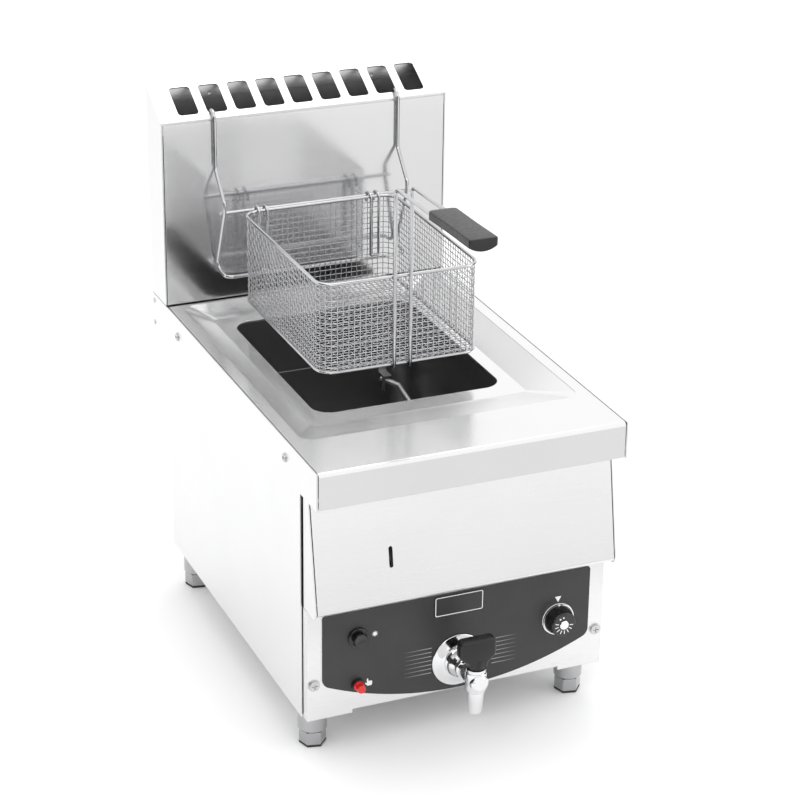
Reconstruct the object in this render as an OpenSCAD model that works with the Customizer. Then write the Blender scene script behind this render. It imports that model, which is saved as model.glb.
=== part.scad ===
// Countertop gas fryer: folded casing, deep tank over two bar burners, flue hood with a
// hung wire basket, gas control, piezo igniter, safety reset and a drain tap.
// Case frame: x across, y back from the face of the worktop's apron, z up from the worktop.
// The row's own origin is on the ground under the middle of the whole machine.

/* [Casing] */
// Width over the side panels
body_w = 320; // [318:1:330]
// Depth from the apron's face to the rear panel
body_d = 441; // [440:1:446]
// Height from the underside of the casing to the worktop
body_h = 279; // [279:1:285]
// Thickness of the folded sheet
sheet = 1.5; // [1.2:0.1:1.6]
// Height of the worktop's front apron
apron_h = 37; // [35:1:37]
// Depth of the pressed recess in the worktop
recess_drop = 14; // [12:1:14]

/* [Tank] */
// Width of the tank's mouth
mouth_w = 200; // [196:1:204]
// Length of the tank's mouth, front to back
mouth_d = 252; // [248:1:252]
// Radius of the tank's upright corners
mouth_r = 20; // [16:1:24]

/* [Flue hood] */
// Depth of the hood, front to back
hood_d = 49; // [48:1:56]
// Height of the hood's front edge above the worktop
hood_front_h = 202; // [190:1:210]
// Height of the hood's rear edge above the worktop
hood_rear_h = 229.5; // [225:0.5:240]
// Number of outlet slots
slot_count = 9; // [9]

/* [Basket] */
// Outer width of the basket
basket_w = 171; // [162:1:174]
// Outer length of the basket
basket_d = 227; // [222:1:230]
// Height of the basket's mesh walls
basket_h = 94; // [85:1:95]
// Length of the handle's grip
grip_l = 96; // [85:1:110]

/* [Controls] */
// Radius of the gas knob's skirt
knob_r = 17; // [16:0.5:19]
// Radius of the drain tap's rosette
rosette_r = 28; // [26:1:30]
// Height of the adjustable feet
foot_h = 45; // [45]

/* [Hidden] */
$fn = 48;
eps = 0.01;
fit = 0.05;                 // radial clearance of a running fit
gap = 0.9;                  // open seam between folded sheets
tap_reach = 24;             // how far the tap stands out past the apron
hood_y = body_d + 2;        // front face of the hood
rear_y = hood_y + hood_d;   // rear face of the whole machine
ear_h = 41;                 // height of the side panels' rear ears
side_front_y = 43;          // front edge of the side panels below the apron
top_z = body_h + foot_h;
front_y = -(rear_y + tap_reach) / 2 + tap_reach;
inner_w = body_w - 2 * sheet;
deck_w = inner_w - 2 * gap;
nose_r = 4;
bend_swell = 1.05;         // a formed bend is a little fatter than its wire

// Pressed recess and mouth of the worktop
rim_w = 290;
rim_y = [73, body_d - 4];
floor_w = 230;
floor_y = [130, 421.5];
mouth_y = 279;              // centre of the mouth, front to back
tank_top = -recess_drop - sheet;
shoulder_z = -190;          // where the tank's sides start to slope inwards
sump_top = -222;
sump_floor = -258;
sump_w = 68;
drain_z = -242;             // axis of the drain pipe and the tap

// Front of the case
fascia_y = 31.4;
fascia_w = 316;
fascia_low = -body_h;
overlay_t = 1;
overlay_w = 285;
overlay_top = -167;
overlay_arc_r = 338;
overlay_arc_z = 64;
overlay_corner = 10;
igniter_x = -106;
igniter_z = -195.4;
reset_z = -248;
knob_x = 108;
knob_z = -218.5;
deflector_top = [27, -39];
deflector_low = [7.5, -149];

// Tap
tap_y = -12.5;              // upright axis of the tap's plug
plug_r = 6.5;

// Hood slots
slot_w = 22.5;
slot_l = 40;
slot_r = 4;
slot_pitch = 31.7;
slope_a = atan((hood_rear_h - hood_front_h) / hood_d);

// Burners and gas train
burner_x = 70;
burner_z = -236;
burner_r = 12;
spindle_r = 4;
plunger_r = 7;
manifold_y = 75;
manifold_z = -221;
pipe_x = 140;
pipe_z = -255;

// Basket, hanger and grid
basket_y = 295;           // centre of the basket, front to back
basket_z = 13;
basket_r = 18;
basket_rear = basket_y + basket_d / 2;
basket_front = basket_y - basket_d / 2;
rim_z = basket_z + basket_h;
rim_r = 1.75;
hook_r = 1.5;
wire_r = 2;
hanger_x = 103;
hang_y = hood_y - 3.2;      // upright wires in front of the hood
rod_y = basket_rear + 6;
rod_z = rim_z + rim_r + 0.15 - 0.3 - wire_r;
bar_z = 36;
post_x = 8.5;
arm_z = 198.5;              // height of the handle's arms at its posts
arm_rise = 1.7;             // the arms rise towards the grip, in degrees
grip_y = -5;
grip_w = 29;
grip_t = 14;
grid_z = -184;
grid_x = -18;
grid_w = 152;
grid_d = 240;

// Feet
foot_x = 140;
foot_y = [65, 420];
sleeve_r = 14.5;
sleeve_low = -307.5;
hex_r = 13.4;
stud_r = 8;

// ---------------------------------------------------------------- helpers

// Moves a piece from the case frame into the row's frame
module case() {
    translate([0, front_y, top_z]) children();
}

// A y-z outline extruded along x, centred on x = 0
module across(w) {
    translate([-w / 2, 0, 0]) rotate([90, 0, 90]) linear_extrude(w) children();
}

// An x-z outline extruded from y to y + depth
module facing(y, depth) {
    translate([0, y + depth, 0]) rotate([90, 0, 0]) linear_extrude(depth) children();
}

// A round bar whose axis runs along y
module bar_y(x, y, z, length, r) {
    translate([x, y, z]) rotate([-90, 0, 0]) cylinder(h = length, r = r);
}

// A turned shape whose axis runs forwards (-y) from the point given
module turned(x, y, z) {
    translate([x, y, z]) rotate([90, 0, 0]) rotate_extrude() children();
}

module rounded_rect(w, d, r) {
    square([w - 2 * r, d], center = true);
    square([w, d - 2 * r], center = true);
    for (x = [-1, 1], y = [-1, 1])
        translate([x * (w / 2 - r), y * (d / 2 - r)]) circle(r);
}

module rod(a, b, r) {
    d = b - a;
    span = norm(d);
    translate(a) rotate([0, acos(d.z / span), atan2(d.y, d.x)]) cylinder(h = span, r = r);
}

// A bent wire. Each bend is a ball a little larger than the wire, as a formed bend swells
module wire(points, r) {
    for (i = [0 : len(points) - 2]) rod(points[i], points[i + 1], r);
    for (i = [1 : len(points) - 2]) translate(points[i]) sphere(bend_swell * r);
}

// A closed loop of wire on a rounded rectangle
module wire_ring(w, d, corner, r) {
    for (s = [-1, 1]) {
        translate([-(w / 2 - corner), s * d / 2, 0])
            rotate([0, 90, 0]) cylinder(h = w - 2 * corner, r = r);
        translate([s * w / 2, -(d / 2 - corner), 0])
            rotate([-90, 0, 0]) cylinder(h = d - 2 * corner, r = r);
    }
    for (mx = [0, 1], my = [0, 1])
        mirror([mx, 0, 0]) mirror([0, my, 0])
            translate([w / 2 - corner, d / 2 - corner, 0])
                rotate_extrude(angle = 90) translate([corner, 0]) circle(r);
}

// ---------------------------------------------------------------- casing

module side_outline() {
    polygon([
        [0, 0], [0, -apron_h - 1], [side_front_y, -apron_h - 1], [side_front_y, -body_h],
        [body_d, -body_h], [body_d, -ear_h], [rear_y, -ear_h], [rear_y, 0]
    ]);
}

side_screw_at = [[82, -18], [405, -20]];
rivet_at = [[rear_y - 8, -8], [rear_y - 8, -33]];

module side_panel(side) {
    x = side < 0 ? -body_w / 2 : body_w / 2 - sheet;
    flange = 14;
    case() difference() {
        union() {
            translate([x, 0, 0]) rotate([90, 0, 90]) linear_extrude(sheet) side_outline();
            translate([side < 0 ? x : x + sheet - flange, side_front_y + 10, -body_h])
                cube([flange, body_d - side_front_y - 20, sheet]);
        }
        for (p = side_screw_at)
            translate([x - 1, p.x, p.y]) rotate([0, 90, 0]) cylinder(h = sheet + 2, r = 2.1);
        for (p = rivet_at)
            translate([x - 1, p.x, p.y]) rotate([0, 90, 0]) cylinder(h = sheet + 2, r = 1.7);
        // clearance for the two feet under this side
        for (y = foot_y)
            translate([side * foot_x, y, -body_h - 1]) cylinder(h = sheet + 2, r = 6);
    }
}

module left_side_panel() {
    color("whitesmoke") side_panel(-1);
}

module right_side_panel() {
    color("whitesmoke") side_panel(1);
}

// The rolled front edge in y-z, inset by t; it runs 1 mm below the apron
module nose_outline(t) {
    low = -apron_h - 1;
    translate([nose_r, -nose_r]) circle(nose_r - t);
    translate([t, low]) square([20, -nose_r - low]);
    translate([nose_r, low]) square([16 + t, -t - low]);
}

// The pressed recess as a solid, from its rim down to its floor
module recess_solid(grow, rim_top, rim_low, floor_z) {
    hull() {
        translate([0, (rim_y[0] + rim_y[1]) / 2, rim_low])
            linear_extrude(rim_top - rim_low)
                rounded_rect(rim_w + grow, rim_y[1] - rim_y[0] + grow, 14, $fn = 32);
        translate([0, (floor_y[0] + floor_y[1]) / 2, floor_z])
            linear_extrude(0.2)
                rounded_rect(floor_w + grow, floor_y[1] - floor_y[0] + grow, 6, $fn = 32);
    }
}

module mouth_outline(grow) {
    rounded_rect(mouth_w + grow, mouth_d + grow, mouth_r + grow / 2);
}

module top_plate() {
    flange = 26;
    color("gainsboro") case() difference() {
        union() {
            across(deck_w) difference() {
                intersection() {
                    nose_outline(0);
                    translate([0, -apron_h]) square([20, apron_h]);
                }
                nose_outline(sheet);
            }
            across(deck_w) translate([0, -apron_h]) square([14, sheet]);
            translate([-deck_w / 2, 18, -sheet]) cube([deck_w, body_d - 18, sheet]);
            recess_solid(2 * sheet, -0.6, -sheet - 0.4, -recess_drop - sheet);
            for (s = [-1, 1])
                translate([s * (deck_w - sheet) / 2 - sheet / 2, 18, -flange])
                    cube([sheet, body_d - 22, flange]);
        }
        recess_solid(0, 1, -0.4, -recess_drop);
        translate([0, mouth_y, -40]) linear_extrude(50) mouth_outline(0);
        for (p = side_screw_at)
            translate([-body_w / 2, p.x, p.y]) rotate([0, 90, 0]) cylinder(h = body_w, r = 2.1);
    }
}

duct_w = 240;
duct_z = [-39, -20];

module rear_panel() {
    color("silver") case() difference() {
        translate([-inner_w / 2, body_d - sheet, -body_h + sheet])
            cube([inner_w, sheet, body_h - 2 * sheet - 0.5]);
        translate([-duct_w / 2, body_d - 3, duct_z[0]])
            cube([duct_w, 6, duct_z[1] - duct_z[0]]);
        bar_y(pipe_x, body_d - 3, pipe_z, 6, 10.6);
        // cooling louvres
        for (i = [0 : 5])
            translate([-60, body_d - 3, -110 - 14 * i]) cube([120, 6, 3.6]);
    }
}

module base_plate() {
    color("silver") case() difference() {
        translate([-inner_w / 2 + 0.2, side_front_y, -body_h + sheet])
            cube([inner_w - 0.4, body_d - sheet - side_front_y - 0.2, sheet]);
        // secondary air for the burners
        for (i = [0 : 2], s = [-1, 1])
            translate([s * burner_x - 22, 160 + 84 * i, -body_h]) cube([44, 66, 6]);
        for (sx = [-1, 1], y = foot_y)
            translate([sx * foot_x, y, -body_h]) cylinder(h = 6, r = 5);
    }
}

module front_frame() {
    cheek_y = 39;
    cheek_t = 1.2;
    color("gainsboro") case() {
        for (s = [-1, 1])
            translate([s * 157.6 - cheek_t / 2, 0, 0]) rotate([90, 0, 90])
                linear_extrude(cheek_t)
                    polygon([
                        [cheek_y, deflector_top.y], [deflector_top.x, deflector_top.y],
                        [deflector_low.x, deflector_low.y], [deflector_low.x + 2, -154.6],
                        [deflector_low.x + 6, -157], [cheek_y, -157]
                    ]);
        translate([-157.2, 33.4, -66]) cube([314.4, cheek_t, 24]);
        translate([-157.2, 33.4, -156]) cube([314.4, cheek_t, 12]);
    }
}

module deflector_outline() {
    t = 1.3;
    a = deflector_top;
    b = deflector_low;
    along = (b - a) / norm(b - a);
    back = [-along.y, along.x];
    lip = 4;
    c = b + lip * back;
    polygon([a, b, b + t * back, a + t * back]);
    // rolled lip at the foot of the panel
    intersection() {
        difference() {
            translate(c) circle(lip);
            translate(c) circle(lip - t);
        }
        polygon([c, c - 9 * back, c - 9 * back + 9 * along, c + 9 * along, c + [0, -9]]);
    }
    translate([c.x - 0.2, c.y - lip]) square([fascia_y - c.x - 1.2, t]);
}

module front_deflector() {
    sight_x = -79;
    sight_z = [-115, -98];
    color("whitesmoke") case() difference() {
        across(312) deflector_outline();
        // sight slot for the pilot flame
        for (z = sight_z) bar_y(sight_x, -5, z, 45, 2);
        translate([sight_x - 2, -5, sight_z[0]]) cube([4, 45, sight_z[1] - sight_z[0]]);
    }
}

module fascia_holes() {
    translate([igniter_x, igniter_z]) circle(8.8);
    translate([igniter_x, reset_z]) circle(5.7);
    translate([knob_x, knob_z]) circle(5.5);
    translate([0, drain_z]) circle(11.5);
}

fascia_screw_at = [[-151, -240], [151, -240]];

module control_fascia() {
    notch_w = 222;
    notch_h = 4;
    flange = 10;
    color("gainsboro") case() {
        facing(fascia_y, sheet) difference() {
            union() {
                translate([-fascia_w / 2, fascia_low])
                    square([fascia_w, -158 - fascia_low]);
                translate([-156, -160]) square([312, 115]);
            }
            translate([-notch_w / 2, fascia_low - 1]) square([notch_w, notch_h + 1]);
            fascia_holes();
            for (p = fascia_screw_at) translate(p) circle(3.05);
            translate([-79 - 4, -122]) square([8, 31]);
        }
        for (s = [-1, 1])
            translate([s * (fascia_w - sheet) / 2 - sheet / 2, fascia_y, fascia_low])
                cube([sheet, flange, -158 - fascia_low]);
        for (s = [-1, 1])
            translate([s > 0 ? notch_w / 2 : -fascia_w / 2, fascia_y, fascia_low])
                cube([(fascia_w - notch_w) / 2, flange, sheet]);
    }
}

module overlay_outline() {
    half = overlay_w / 2;
    cx = half - overlay_corner;
    reach = overlay_arc_r - overlay_corner;
    cz = overlay_arc_z - sqrt(reach * reach - cx * cx);
    edge = cx * overlay_arc_r / reach;
    top_r = 3;
    translate([-half, cz]) square([overlay_w, overlay_top - top_r - cz]);
    translate([-half + top_r, cz]) square([overlay_w - 2 * top_r, overlay_top - cz]);
    intersection() {
        translate([0, overlay_arc_z]) circle(overlay_arc_r, $fn = 360);
        translate([-edge, -290]) square([2 * edge, 290 + cz + 1]);
    }
    for (s = [-1, 1]) {
        translate([s * cx, cz]) circle(overlay_corner);
        translate([s * (half - top_r), overlay_top - top_r]) circle(top_r);
    }
}

module control_overlay() {
    color("dimgray") case() facing(fascia_y - overlay_t, overlay_t) difference() {
        overlay_outline();
        fascia_holes();
    }
}

module badge_plate() {
    color("darkgray") case() facing(fascia_y - overlay_t - 0.6, 0.6)
        translate([0, -180]) rounded_rect(52, 22, 2);
}

// ---------------------------------------------------------------- flue hood

module hood_slots(z0, z1) {
    mid = [hood_y + hood_d / 2, (hood_front_h + hood_rear_h) / 2];
    for (i = [0 : slot_count - 1])
        translate([(i - (slot_count - 1) / 2) * slot_pitch, mid.x, mid.y])
            rotate([slope_a, 0, 0]) translate([0, 0, z0])
                linear_extrude(z1 - z0) rounded_rect(slot_w, slot_l, slot_r);
}

module flue_hood() {
    t = sheet / cos(slope_a);
    flange_z = [hood_rear_h - 20, hood_rear_h - 4];
    color("whitesmoke") case() {
        for (s = [-1, 1])
            translate([s * (body_w - sheet) / 2 - sheet / 2, 0, 0]) rotate([90, 0, 90])
                linear_extrude(sheet)
                    polygon([
                        [hood_y, gap], [rear_y, gap], [rear_y, hood_rear_h - t],
                        [hood_y, hood_front_h - t]
                    ]);
        difference() {
            across(body_w) polygon([
                [hood_y, hood_front_h], [rear_y, hood_rear_h],
                [rear_y, hood_rear_h - t], [hood_y, hood_front_h - t]
            ]);
            hood_slots(-6, 6);
        }
        // front lip and inner rear flange with two fixing holes
        translate([-body_w / 2 + sheet, hood_y + sheet + 0.2, hood_front_h - 14])
            cube([inner_w, sheet, 13.2]);
        difference() {
            translate([-inner_w / 2, rear_y - 2 * sheet - 0.1, flange_z[0]])
                cube([inner_w, sheet, flange_z[1] - flange_z[0]]);
            for (s = [-1, 1])
                bar_y(s * 2.9 * slot_pitch, rear_y - 8, flange_z[0] + 6, 12, 2.2);
        }
    }
}

module flue_front_panel() {
    color("lightgray") case()
        translate([-(inner_w - 1.6) / 2, hood_y, 1.2])
            cube([inner_w - 1.6, sheet, hood_front_h - sheet - 3.2]);
}

module flue_back_panel() {
    flange = 12;
    color("silver") case() difference() {
        union() {
            translate([-inner_w / 2, rear_y - sheet, -ear_h])
                cube([inner_w, sheet, ear_h + hood_rear_h - 3]);
            for (s = [-1, 1])
                translate([s * (inner_w - sheet) / 2 - sheet / 2, rear_y - flange, -ear_h])
                    cube([sheet, flange, ear_h - 1]);
        }
        for (p = rivet_at)
            translate([-body_w / 2, p.x, p.y]) rotate([0, 90, 0]) cylinder(h = body_w, r = 1.7);
    }
}

module hood_floor() {
    color("silver") case() {
        translate([-inner_w / 2 + 2, body_d + 0.2, -ear_h])
            cube([inner_w - 4, rear_y - sheet - body_d - 0.4, sheet]);
        translate([-inner_w / 2 + 2, body_d + 0.2, -ear_h + sheet])
            cube([(inner_w - duct_w) / 2 - 4, sheet, ear_h - 2 * sheet]);
        translate([duct_w / 2 + 2, body_d + 0.2, -ear_h + sheet])
            cube([(inner_w - duct_w) / 2 - 4, sheet, ear_h - 2 * sheet]);
    }
}

duct_y = [408.5, 424];
chamber_top = -62;

module flue_duct() {
    t = 1;
    color("dimgray") case() difference() {
        union() {
            translate([-duct_w / 2, duct_y[0], chamber_top])
                cube([duct_w, duct_y[1] - duct_y[0], duct_z[1] - chamber_top]);
            translate([-duct_w / 2, duct_y[0], duct_z[0]])
                cube([duct_w, body_d - duct_y[0] + 1, duct_z[1] - duct_z[0]]);
        }
        translate([-duct_w / 2 + t, duct_y[0] + t, chamber_top - 1])
            cube([duct_w - 2 * t, duct_y[1] - duct_y[0] - 2 * t, duct_z[1] - chamber_top + 1 - t]);
        translate([-duct_w / 2 + t, duct_y[0] + t, duct_z[0] + t])
            cube([duct_w - 2 * t, body_d - duct_y[0] + 4, duct_z[1] - duct_z[0] - 2 * t]);
    }
}

// ---------------------------------------------------------------- tank and heating

module tank_profile(grow, top) {
    half = mouth_w / 2 + grow;
    sump = sump_w / 2 + grow;
    drop = grow * 0.7;
    polygon([
        [-half, top], [-half, shoulder_z - drop], [-sump, sump_top - drop],
        [-sump, sump_floor - grow], [sump, sump_floor - grow], [sump, sump_top - drop],
        [half, shoulder_z - drop], [half, top]
    ]);
}

module tank_solid(grow, top) {
    intersection() {
        translate([0, mouth_y, -300]) linear_extrude(310) mouth_outline(2 * grow);
        facing(100, 350) tank_profile(grow, top);
    }
}

gland_x = 76;
gland_z = -140;
limit_z = -160;

module oil_tank() {
    lip = 10;
    color("dimgray") case() difference() {
        union() {
            tank_solid(sheet, tank_top - 0.05);
            translate([0, mouth_y, tank_top - sheet - 0.05]) linear_extrude(sheet)
                mouth_outline(2 * (sheet + lip));
        }
        tank_solid(0, 5);
        bar_y(0, 140, drain_z, 20, 9);
        for (z = [gland_z, limit_z]) bar_y(gland_x, 140, z, 20, 3.3);
    }
    // pressed oil level line on the rear wall
    color("dimgray") case()
        translate([-65, mouth_y + mouth_d / 2 - 0.7, -80]) cube([130, 0.8, 1.4]);
}

chamber_w = 246;
chamber_y = [138, 425];

module combustion_chamber() {
    t = 1;
    low = -272;
    depth = chamber_y[1] - chamber_y[0];
    color("slategray") case() difference() {
        translate([-chamber_w / 2, chamber_y[0], low])
            cube([chamber_w, depth, chamber_top - low]);
        translate([-chamber_w / 2 + t, chamber_y[0] + t, low - 1])
            cube([chamber_w - 2 * t, depth - 2 * t, chamber_top - low + 1 - t]);
        translate([0, mouth_y, chamber_top - 5]) linear_extrude(10)
            mouth_outline(2 * sheet + 1);
        translate([-duct_w / 2 + 1, duct_y[0] + 0.9, chamber_top - 4])
            cube([duct_w - 2, duct_y[1] - duct_y[0] - 1.9, 8]);
        bar_y(0, chamber_y[0] - 2, drain_z, 5, 13.5);
        for (s = [-1, 1]) bar_y(s * burner_x, chamber_y[0] - 2, burner_z, 5, 13.5);
        for (z = [gland_z, limit_z]) bar_y(gland_x, chamber_y[0] - 2, z, 5, 7);
        for (p = [[42, -230], [49, -225], [49, -235]])
            bar_y(p.x, chamber_y[0] - 2, p.y, 5, 2.8);
    }
}

// A perforated bar burner with a venturi mouth at its front end
module burner(x) {
    body_y = [152, 398];
    wall = 1.2;
    bore = burner_r - wall;
    color("gray") case() difference() {
        union() {
            bar_y(x, body_y[0], burner_z, body_y[1] - body_y[0], burner_r);
            translate([x, body_y[0] + 0.01, burner_z]) rotate([90, 0, 0])
                cylinder(h = 18, r1 = burner_r, r2 = 8.5);
            translate([x, body_y[0] - 17.98, burner_z]) rotate([90, 0, 0])
                cylinder(h = 12, r1 = 8.5, r2 = 12.5);
        }
        bar_y(x, body_y[0] - 0.5, burner_z, body_y[1] - body_y[0] - 1.5, bore);
        translate([x, body_y[0] + 0.02, burner_z]) rotate([90, 0, 0])
            cylinder(h = 18, r1 = bore, r2 = 7.3);
        translate([x, body_y[0] - 17.9, burner_z]) rotate([90, 0, 0])
            cylinder(h = 13, r1 = 7.3, r2 = 11.3);
        // flame ports across the crown
        for (i = [0 : 22])
            translate([x - 8, body_y[0] + 10 + 10 * i, burner_z + 6]) cube([16, 2, 12]);
    }
}

module burner_left() {
    burner(-burner_x);
}

module burner_right() {
    burner(burner_x);
}

valve_x = [84, 134];
valve_y = [44, 104];
valve_z = [-246, -196];

module gas_manifold() {
    tube_r = 6;
    color("goldenrod") case() {
        difference() {
            translate([-78, manifold_y, manifold_z]) rotate([0, 90, 0])
                cylinder(h = 78 + valve_x[0] - 0.2, r = tube_r);
            translate([-74, manifold_y, manifold_z]) rotate([0, 90, 0])
                cylinder(h = 200, r = tube_r - 1.5);
        }
        for (s = [-1, 1]) {
            translate([s * burner_x, manifold_y, burner_z]) cylinder(h = 12, r = 5);
            translate([s * burner_x, manifold_y, burner_z]) sphere(5);
            difference() {
                translate([s * burner_x, manifold_y, burner_z]) rotate([-90, 0, 0])
                    cylinder(h = 22, r = 6.5, $fn = 6);
                bar_y(s * burner_x, manifold_y + 8, burner_z, 30, 0.9);
            }
        }
    }
}

module gas_valve() {
    depth = valve_y[1] - valve_y[0];
    color("silver") case() difference() {
        union() {
            translate([valve_x[0], valve_y[0] + 6, valve_z[0]])
                cube([valve_x[1] - valve_x[0], depth - 6, valve_z[1] - valve_z[0]]);
            bar_y(knob_x, fascia_y + sheet + 0.5, knob_z, valve_y[0] - fascia_y + 6, 10);
            translate([knob_x, 80, valve_z[1] - eps]) cylinder(h = 12, r = 9);
        }
        bar_y(knob_x, fascia_y, knob_z, 50, spindle_r + fit);
        bar_y(knob_x, plunger_y.x - 0.2, knob_z, 25, plunger_r + fit);
    }
}

module gas_supply_pipe() {
    color("goldenrod") case() wire([
        [127, valve_y[1] + 0.2, -236], [127, 118, -236], [pipe_x, 150, pipe_z],
        [pipe_x, body_d - 12.2, pipe_z]
    ], 6);
}

module gas_inlet_fitting() {
    thread_r = 10.48;
    color("goldenrod") case() difference() {
        union() {
            bar_y(pipe_x, body_d - 12, pipe_z, 40, thread_r - 0.3);
            bar_y(pipe_x, body_d + 12, pipe_z, 16, thread_r);
            bar_y(pipe_x, body_d + 0.1, pipe_z, 8, 13.5, $fn = 6);
        }
        bar_y(pipe_x, body_d - 6, pipe_z, 40, 6.5);
    }
}

module pilot_burner() {
    color("gray") case() {
        bar_y(42, 120, -230, 50, 2.2);
        bar_y(42, 158, -230, 14, 3.8);
        translate([38.5, 170, -234]) cube([7, 1.2, 9]);
    }
}

module thermocouple() {
    color("goldenrod") case() {
        bar_y(49, 128, -235, 44, 2.2);
        wire([[49, 129, -235], [49, 112, -235], [49, 110, -208], [90, 106, -204]], 1.2);
        bar_y(90, 104.1, -204, 4, 3);
    }
}

module spark_electrode() {
    color("ivory") case() {
        bar_y(49, 126, -225, 40, 2.4);
        bar_y(49, 160, -225, 14, 0.9);
        wire([
            [49, 127, -225], [49, 118, -224], [36, 112, -202], [-88, 96, -198],
            [igniter_x, 90, igniter_z], [igniter_x, 82.2, igniter_z]
        ], 1.4);
    }
}

// ---------------------------------------------------------------- probes

module gland(z) {
    bar_y(gland_x, 147, z, 4.4, 6);
}

module thermostat_bulb() {
    bulb_r = 3;
    color("gray") case() {
        wire([
            [68, 398, -100], [85, 386, -107], [90, 352, -122],
            [90, 190, gland_z], [gland_x, 176, gland_z], [gland_x, 147, gland_z]
        ], bulb_r);
        gland(gland_z);
        wire([
            [gland_x, 148, gland_z], [gland_x, 130, gland_z], [96, 106, -166],
            [knob_x, 84, -183]
        ], 1.3);
    }
}

module limit_bulb() {
    bulb_r = 3;
    color("gray") case() {
        wire([
            [90, 290, limit_z], [90, 190, limit_z], [gland_x, 176, limit_z],
            [gland_x, 147, limit_z]
        ], bulb_r);
        gland(limit_z);
        wire([
            [gland_x, 148, limit_z], [gland_x, 128, limit_z], [50, 112, -184],
            [-90, 104, -187], [igniter_x, 92, -216], [igniter_x, 74, -238],
            [igniter_x, 66.2, reset_z + 6]
        ], 1.3);
    }
}

module bulb_bracket() {
    x = 68;
    rear = mouth_y + mouth_d / 2;
    color("gray") case() difference() {
        union() {
            translate([x, rear - 2, -96]) cube([9, 1.9, 34]);
            translate([x, rear - 17, -96]) cube([9, 16, 1.6]);
            translate([x, rear - 17, -112]) cube([1.6, 5, 17]);
        }
        bar_y(x + 4.5, rear - 6, -72, 10, 2);
    }
}

// ---------------------------------------------------------------- controls

module igniter_body() {
    color("black") case() difference() {
        union() {
            turned(igniter_x, fascia_y - overlay_t, igniter_z) {
                square([10.4, 1.6]);
                translate([8.8, 0]) square([0.9, 3.2]);
                translate([8.8, 1.6]) intersection() {
                    circle(1.6);
                    square([1.6, 1.6]);
                }
            }
            bar_y(igniter_x, fascia_y - overlay_t - 3.2, igniter_z, 55.2, 8.8 - 0.3);
            bar_y(igniter_x, fascia_y + sheet + 0.1, igniter_z, 4, 12.5, $fn = 6);
        }
        bar_y(igniter_x, fascia_y - 6, igniter_z, 14, 8);
        bar_y(igniter_x, fascia_y - 6, igniter_z, 40, 3.5 + fit);
    }
}

module igniter_button() {
    reach = 9.4;
    dish_r = 14;
    color("black") case() difference() {
        union() {
            turned(igniter_x, fascia_y + 0.6, igniter_z) {
                square([7.7, 3]);
                square([6.6, reach]);
                square([5.8, reach + 0.8]);
                translate([5.8, reach]) circle(0.8);
            }
            bar_y(igniter_x, fascia_y, igniter_z, 26, 3.5);
        }
        translate([igniter_x, fascia_y - reach + 0.7 - dish_r, igniter_z]) sphere(dish_r);
    }
}

// The space that a coil spring takes up around its rod, from y to y + length
module spring_sleeve(x, y, z, length, r, w) {
    difference() {
        bar_y(x, y, z, length, r + w / 2);
        bar_y(x, y - 1, z, length + 2, r - w / 2);
    }
}

module igniter_spring() {
    color("silver") case()
        spring_sleeve(igniter_x, fascia_y + 0.7, igniter_z, 7.1, 5.8, 0.7);
}

module knob_spring() {
    color("silver") case()
        spring_sleeve(knob_x, plunger_y.y + 0.1, knob_z, 16.3, 5.4, 0.9);
}

module reset_thermostat() {
    color("silver") case() difference() {
        union() {
            bar_y(igniter_x, 44, reset_z, 22, 13);
            bar_y(igniter_x, fascia_y + 0.2, reset_z, 13, 5.4);
        }
        bar_y(igniter_x, fascia_y - 3, reset_z, 24, 2.5 + fit);
        bar_y(igniter_x, fascia_y, reset_z, 4, 4.5);
    }
}

module reset_collar() {
    color("black") case() difference() {
        turned(igniter_x, fascia_y - overlay_t, reset_z) {
            square([7, 2]);
            square([6.2, 3.4]);
        }
        bar_y(igniter_x, fascia_y - 8, reset_z, 10, 5.6);
    }
}

module reset_button() {
    color("red") case() {
        turned(igniter_x, fascia_y - overlay_t - 1, reset_z) {
            square([5.3, 6]);
            square([4.3, 10.5]);
        }
        bar_y(igniter_x, fascia_y - 3, reset_z, 18, 2.5);
    }
}

knob_base = fascia_y - overlay_t - 3.4;
knob_h = 11.6;
plunger_y = [56, 64];

// The sleeve that the spindle pushes in to open the gas way
module valve_plunger() {
    color("silver") case() difference() {
        bar_y(knob_x, plunger_y.x, knob_z, plunger_y.y - plunger_y.x, plunger_r);
        bar_y(knob_x, plunger_y.x - 1, knob_z, 20, spindle_r + fit);
    }
}

module valve_spindle() {
    low = knob_base - knob_h + 4;
    color("silver") case() difference() {
        bar_y(knob_x, low, knob_z, plunger_y.y + 4 - low, spindle_r);
        // flat that keys the knob
        translate([knob_x - 6, low - 1, knob_z + 3]) cube([12, 10, 4]);
    }
}

// Fixed bright ring that the knob sinks into when it is pushed
module knob_bezel() {
    color("silver") case() difference() {
        turned(knob_x, fascia_y - overlay_t, knob_z) {
            square([knob_r, 1]);
            square([knob_r - 0.4, 3.2]);
        }
        bar_y(knob_x, fascia_y - 8, knob_z, 20, knob_r - 1.4);
    }
}

module control_knob() {
    color("black") case() difference() {
        translate([knob_x, knob_base, knob_z]) rotate([90, 0, 0])
            cylinder(h = knob_h, r1 = knob_r - 1.8, r2 = 12.4);
        difference() {
            bar_y(knob_x, knob_base - knob_h + 4, knob_z, 20, spindle_r + fit);
            translate([knob_x - 6, knob_base - knob_h + 3, knob_z + 3 + fit])
                cube([12, 10, 4]);
        }
    }
}

module knob_cap() {
    color("silver") case() turned(knob_x, knob_base - knob_h - 0.02, knob_z) {
        square([11.8, 0.6]);
        square([4.8, 1.1]);
    }
}

// ---------------------------------------------------------------- drain tap

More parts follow.
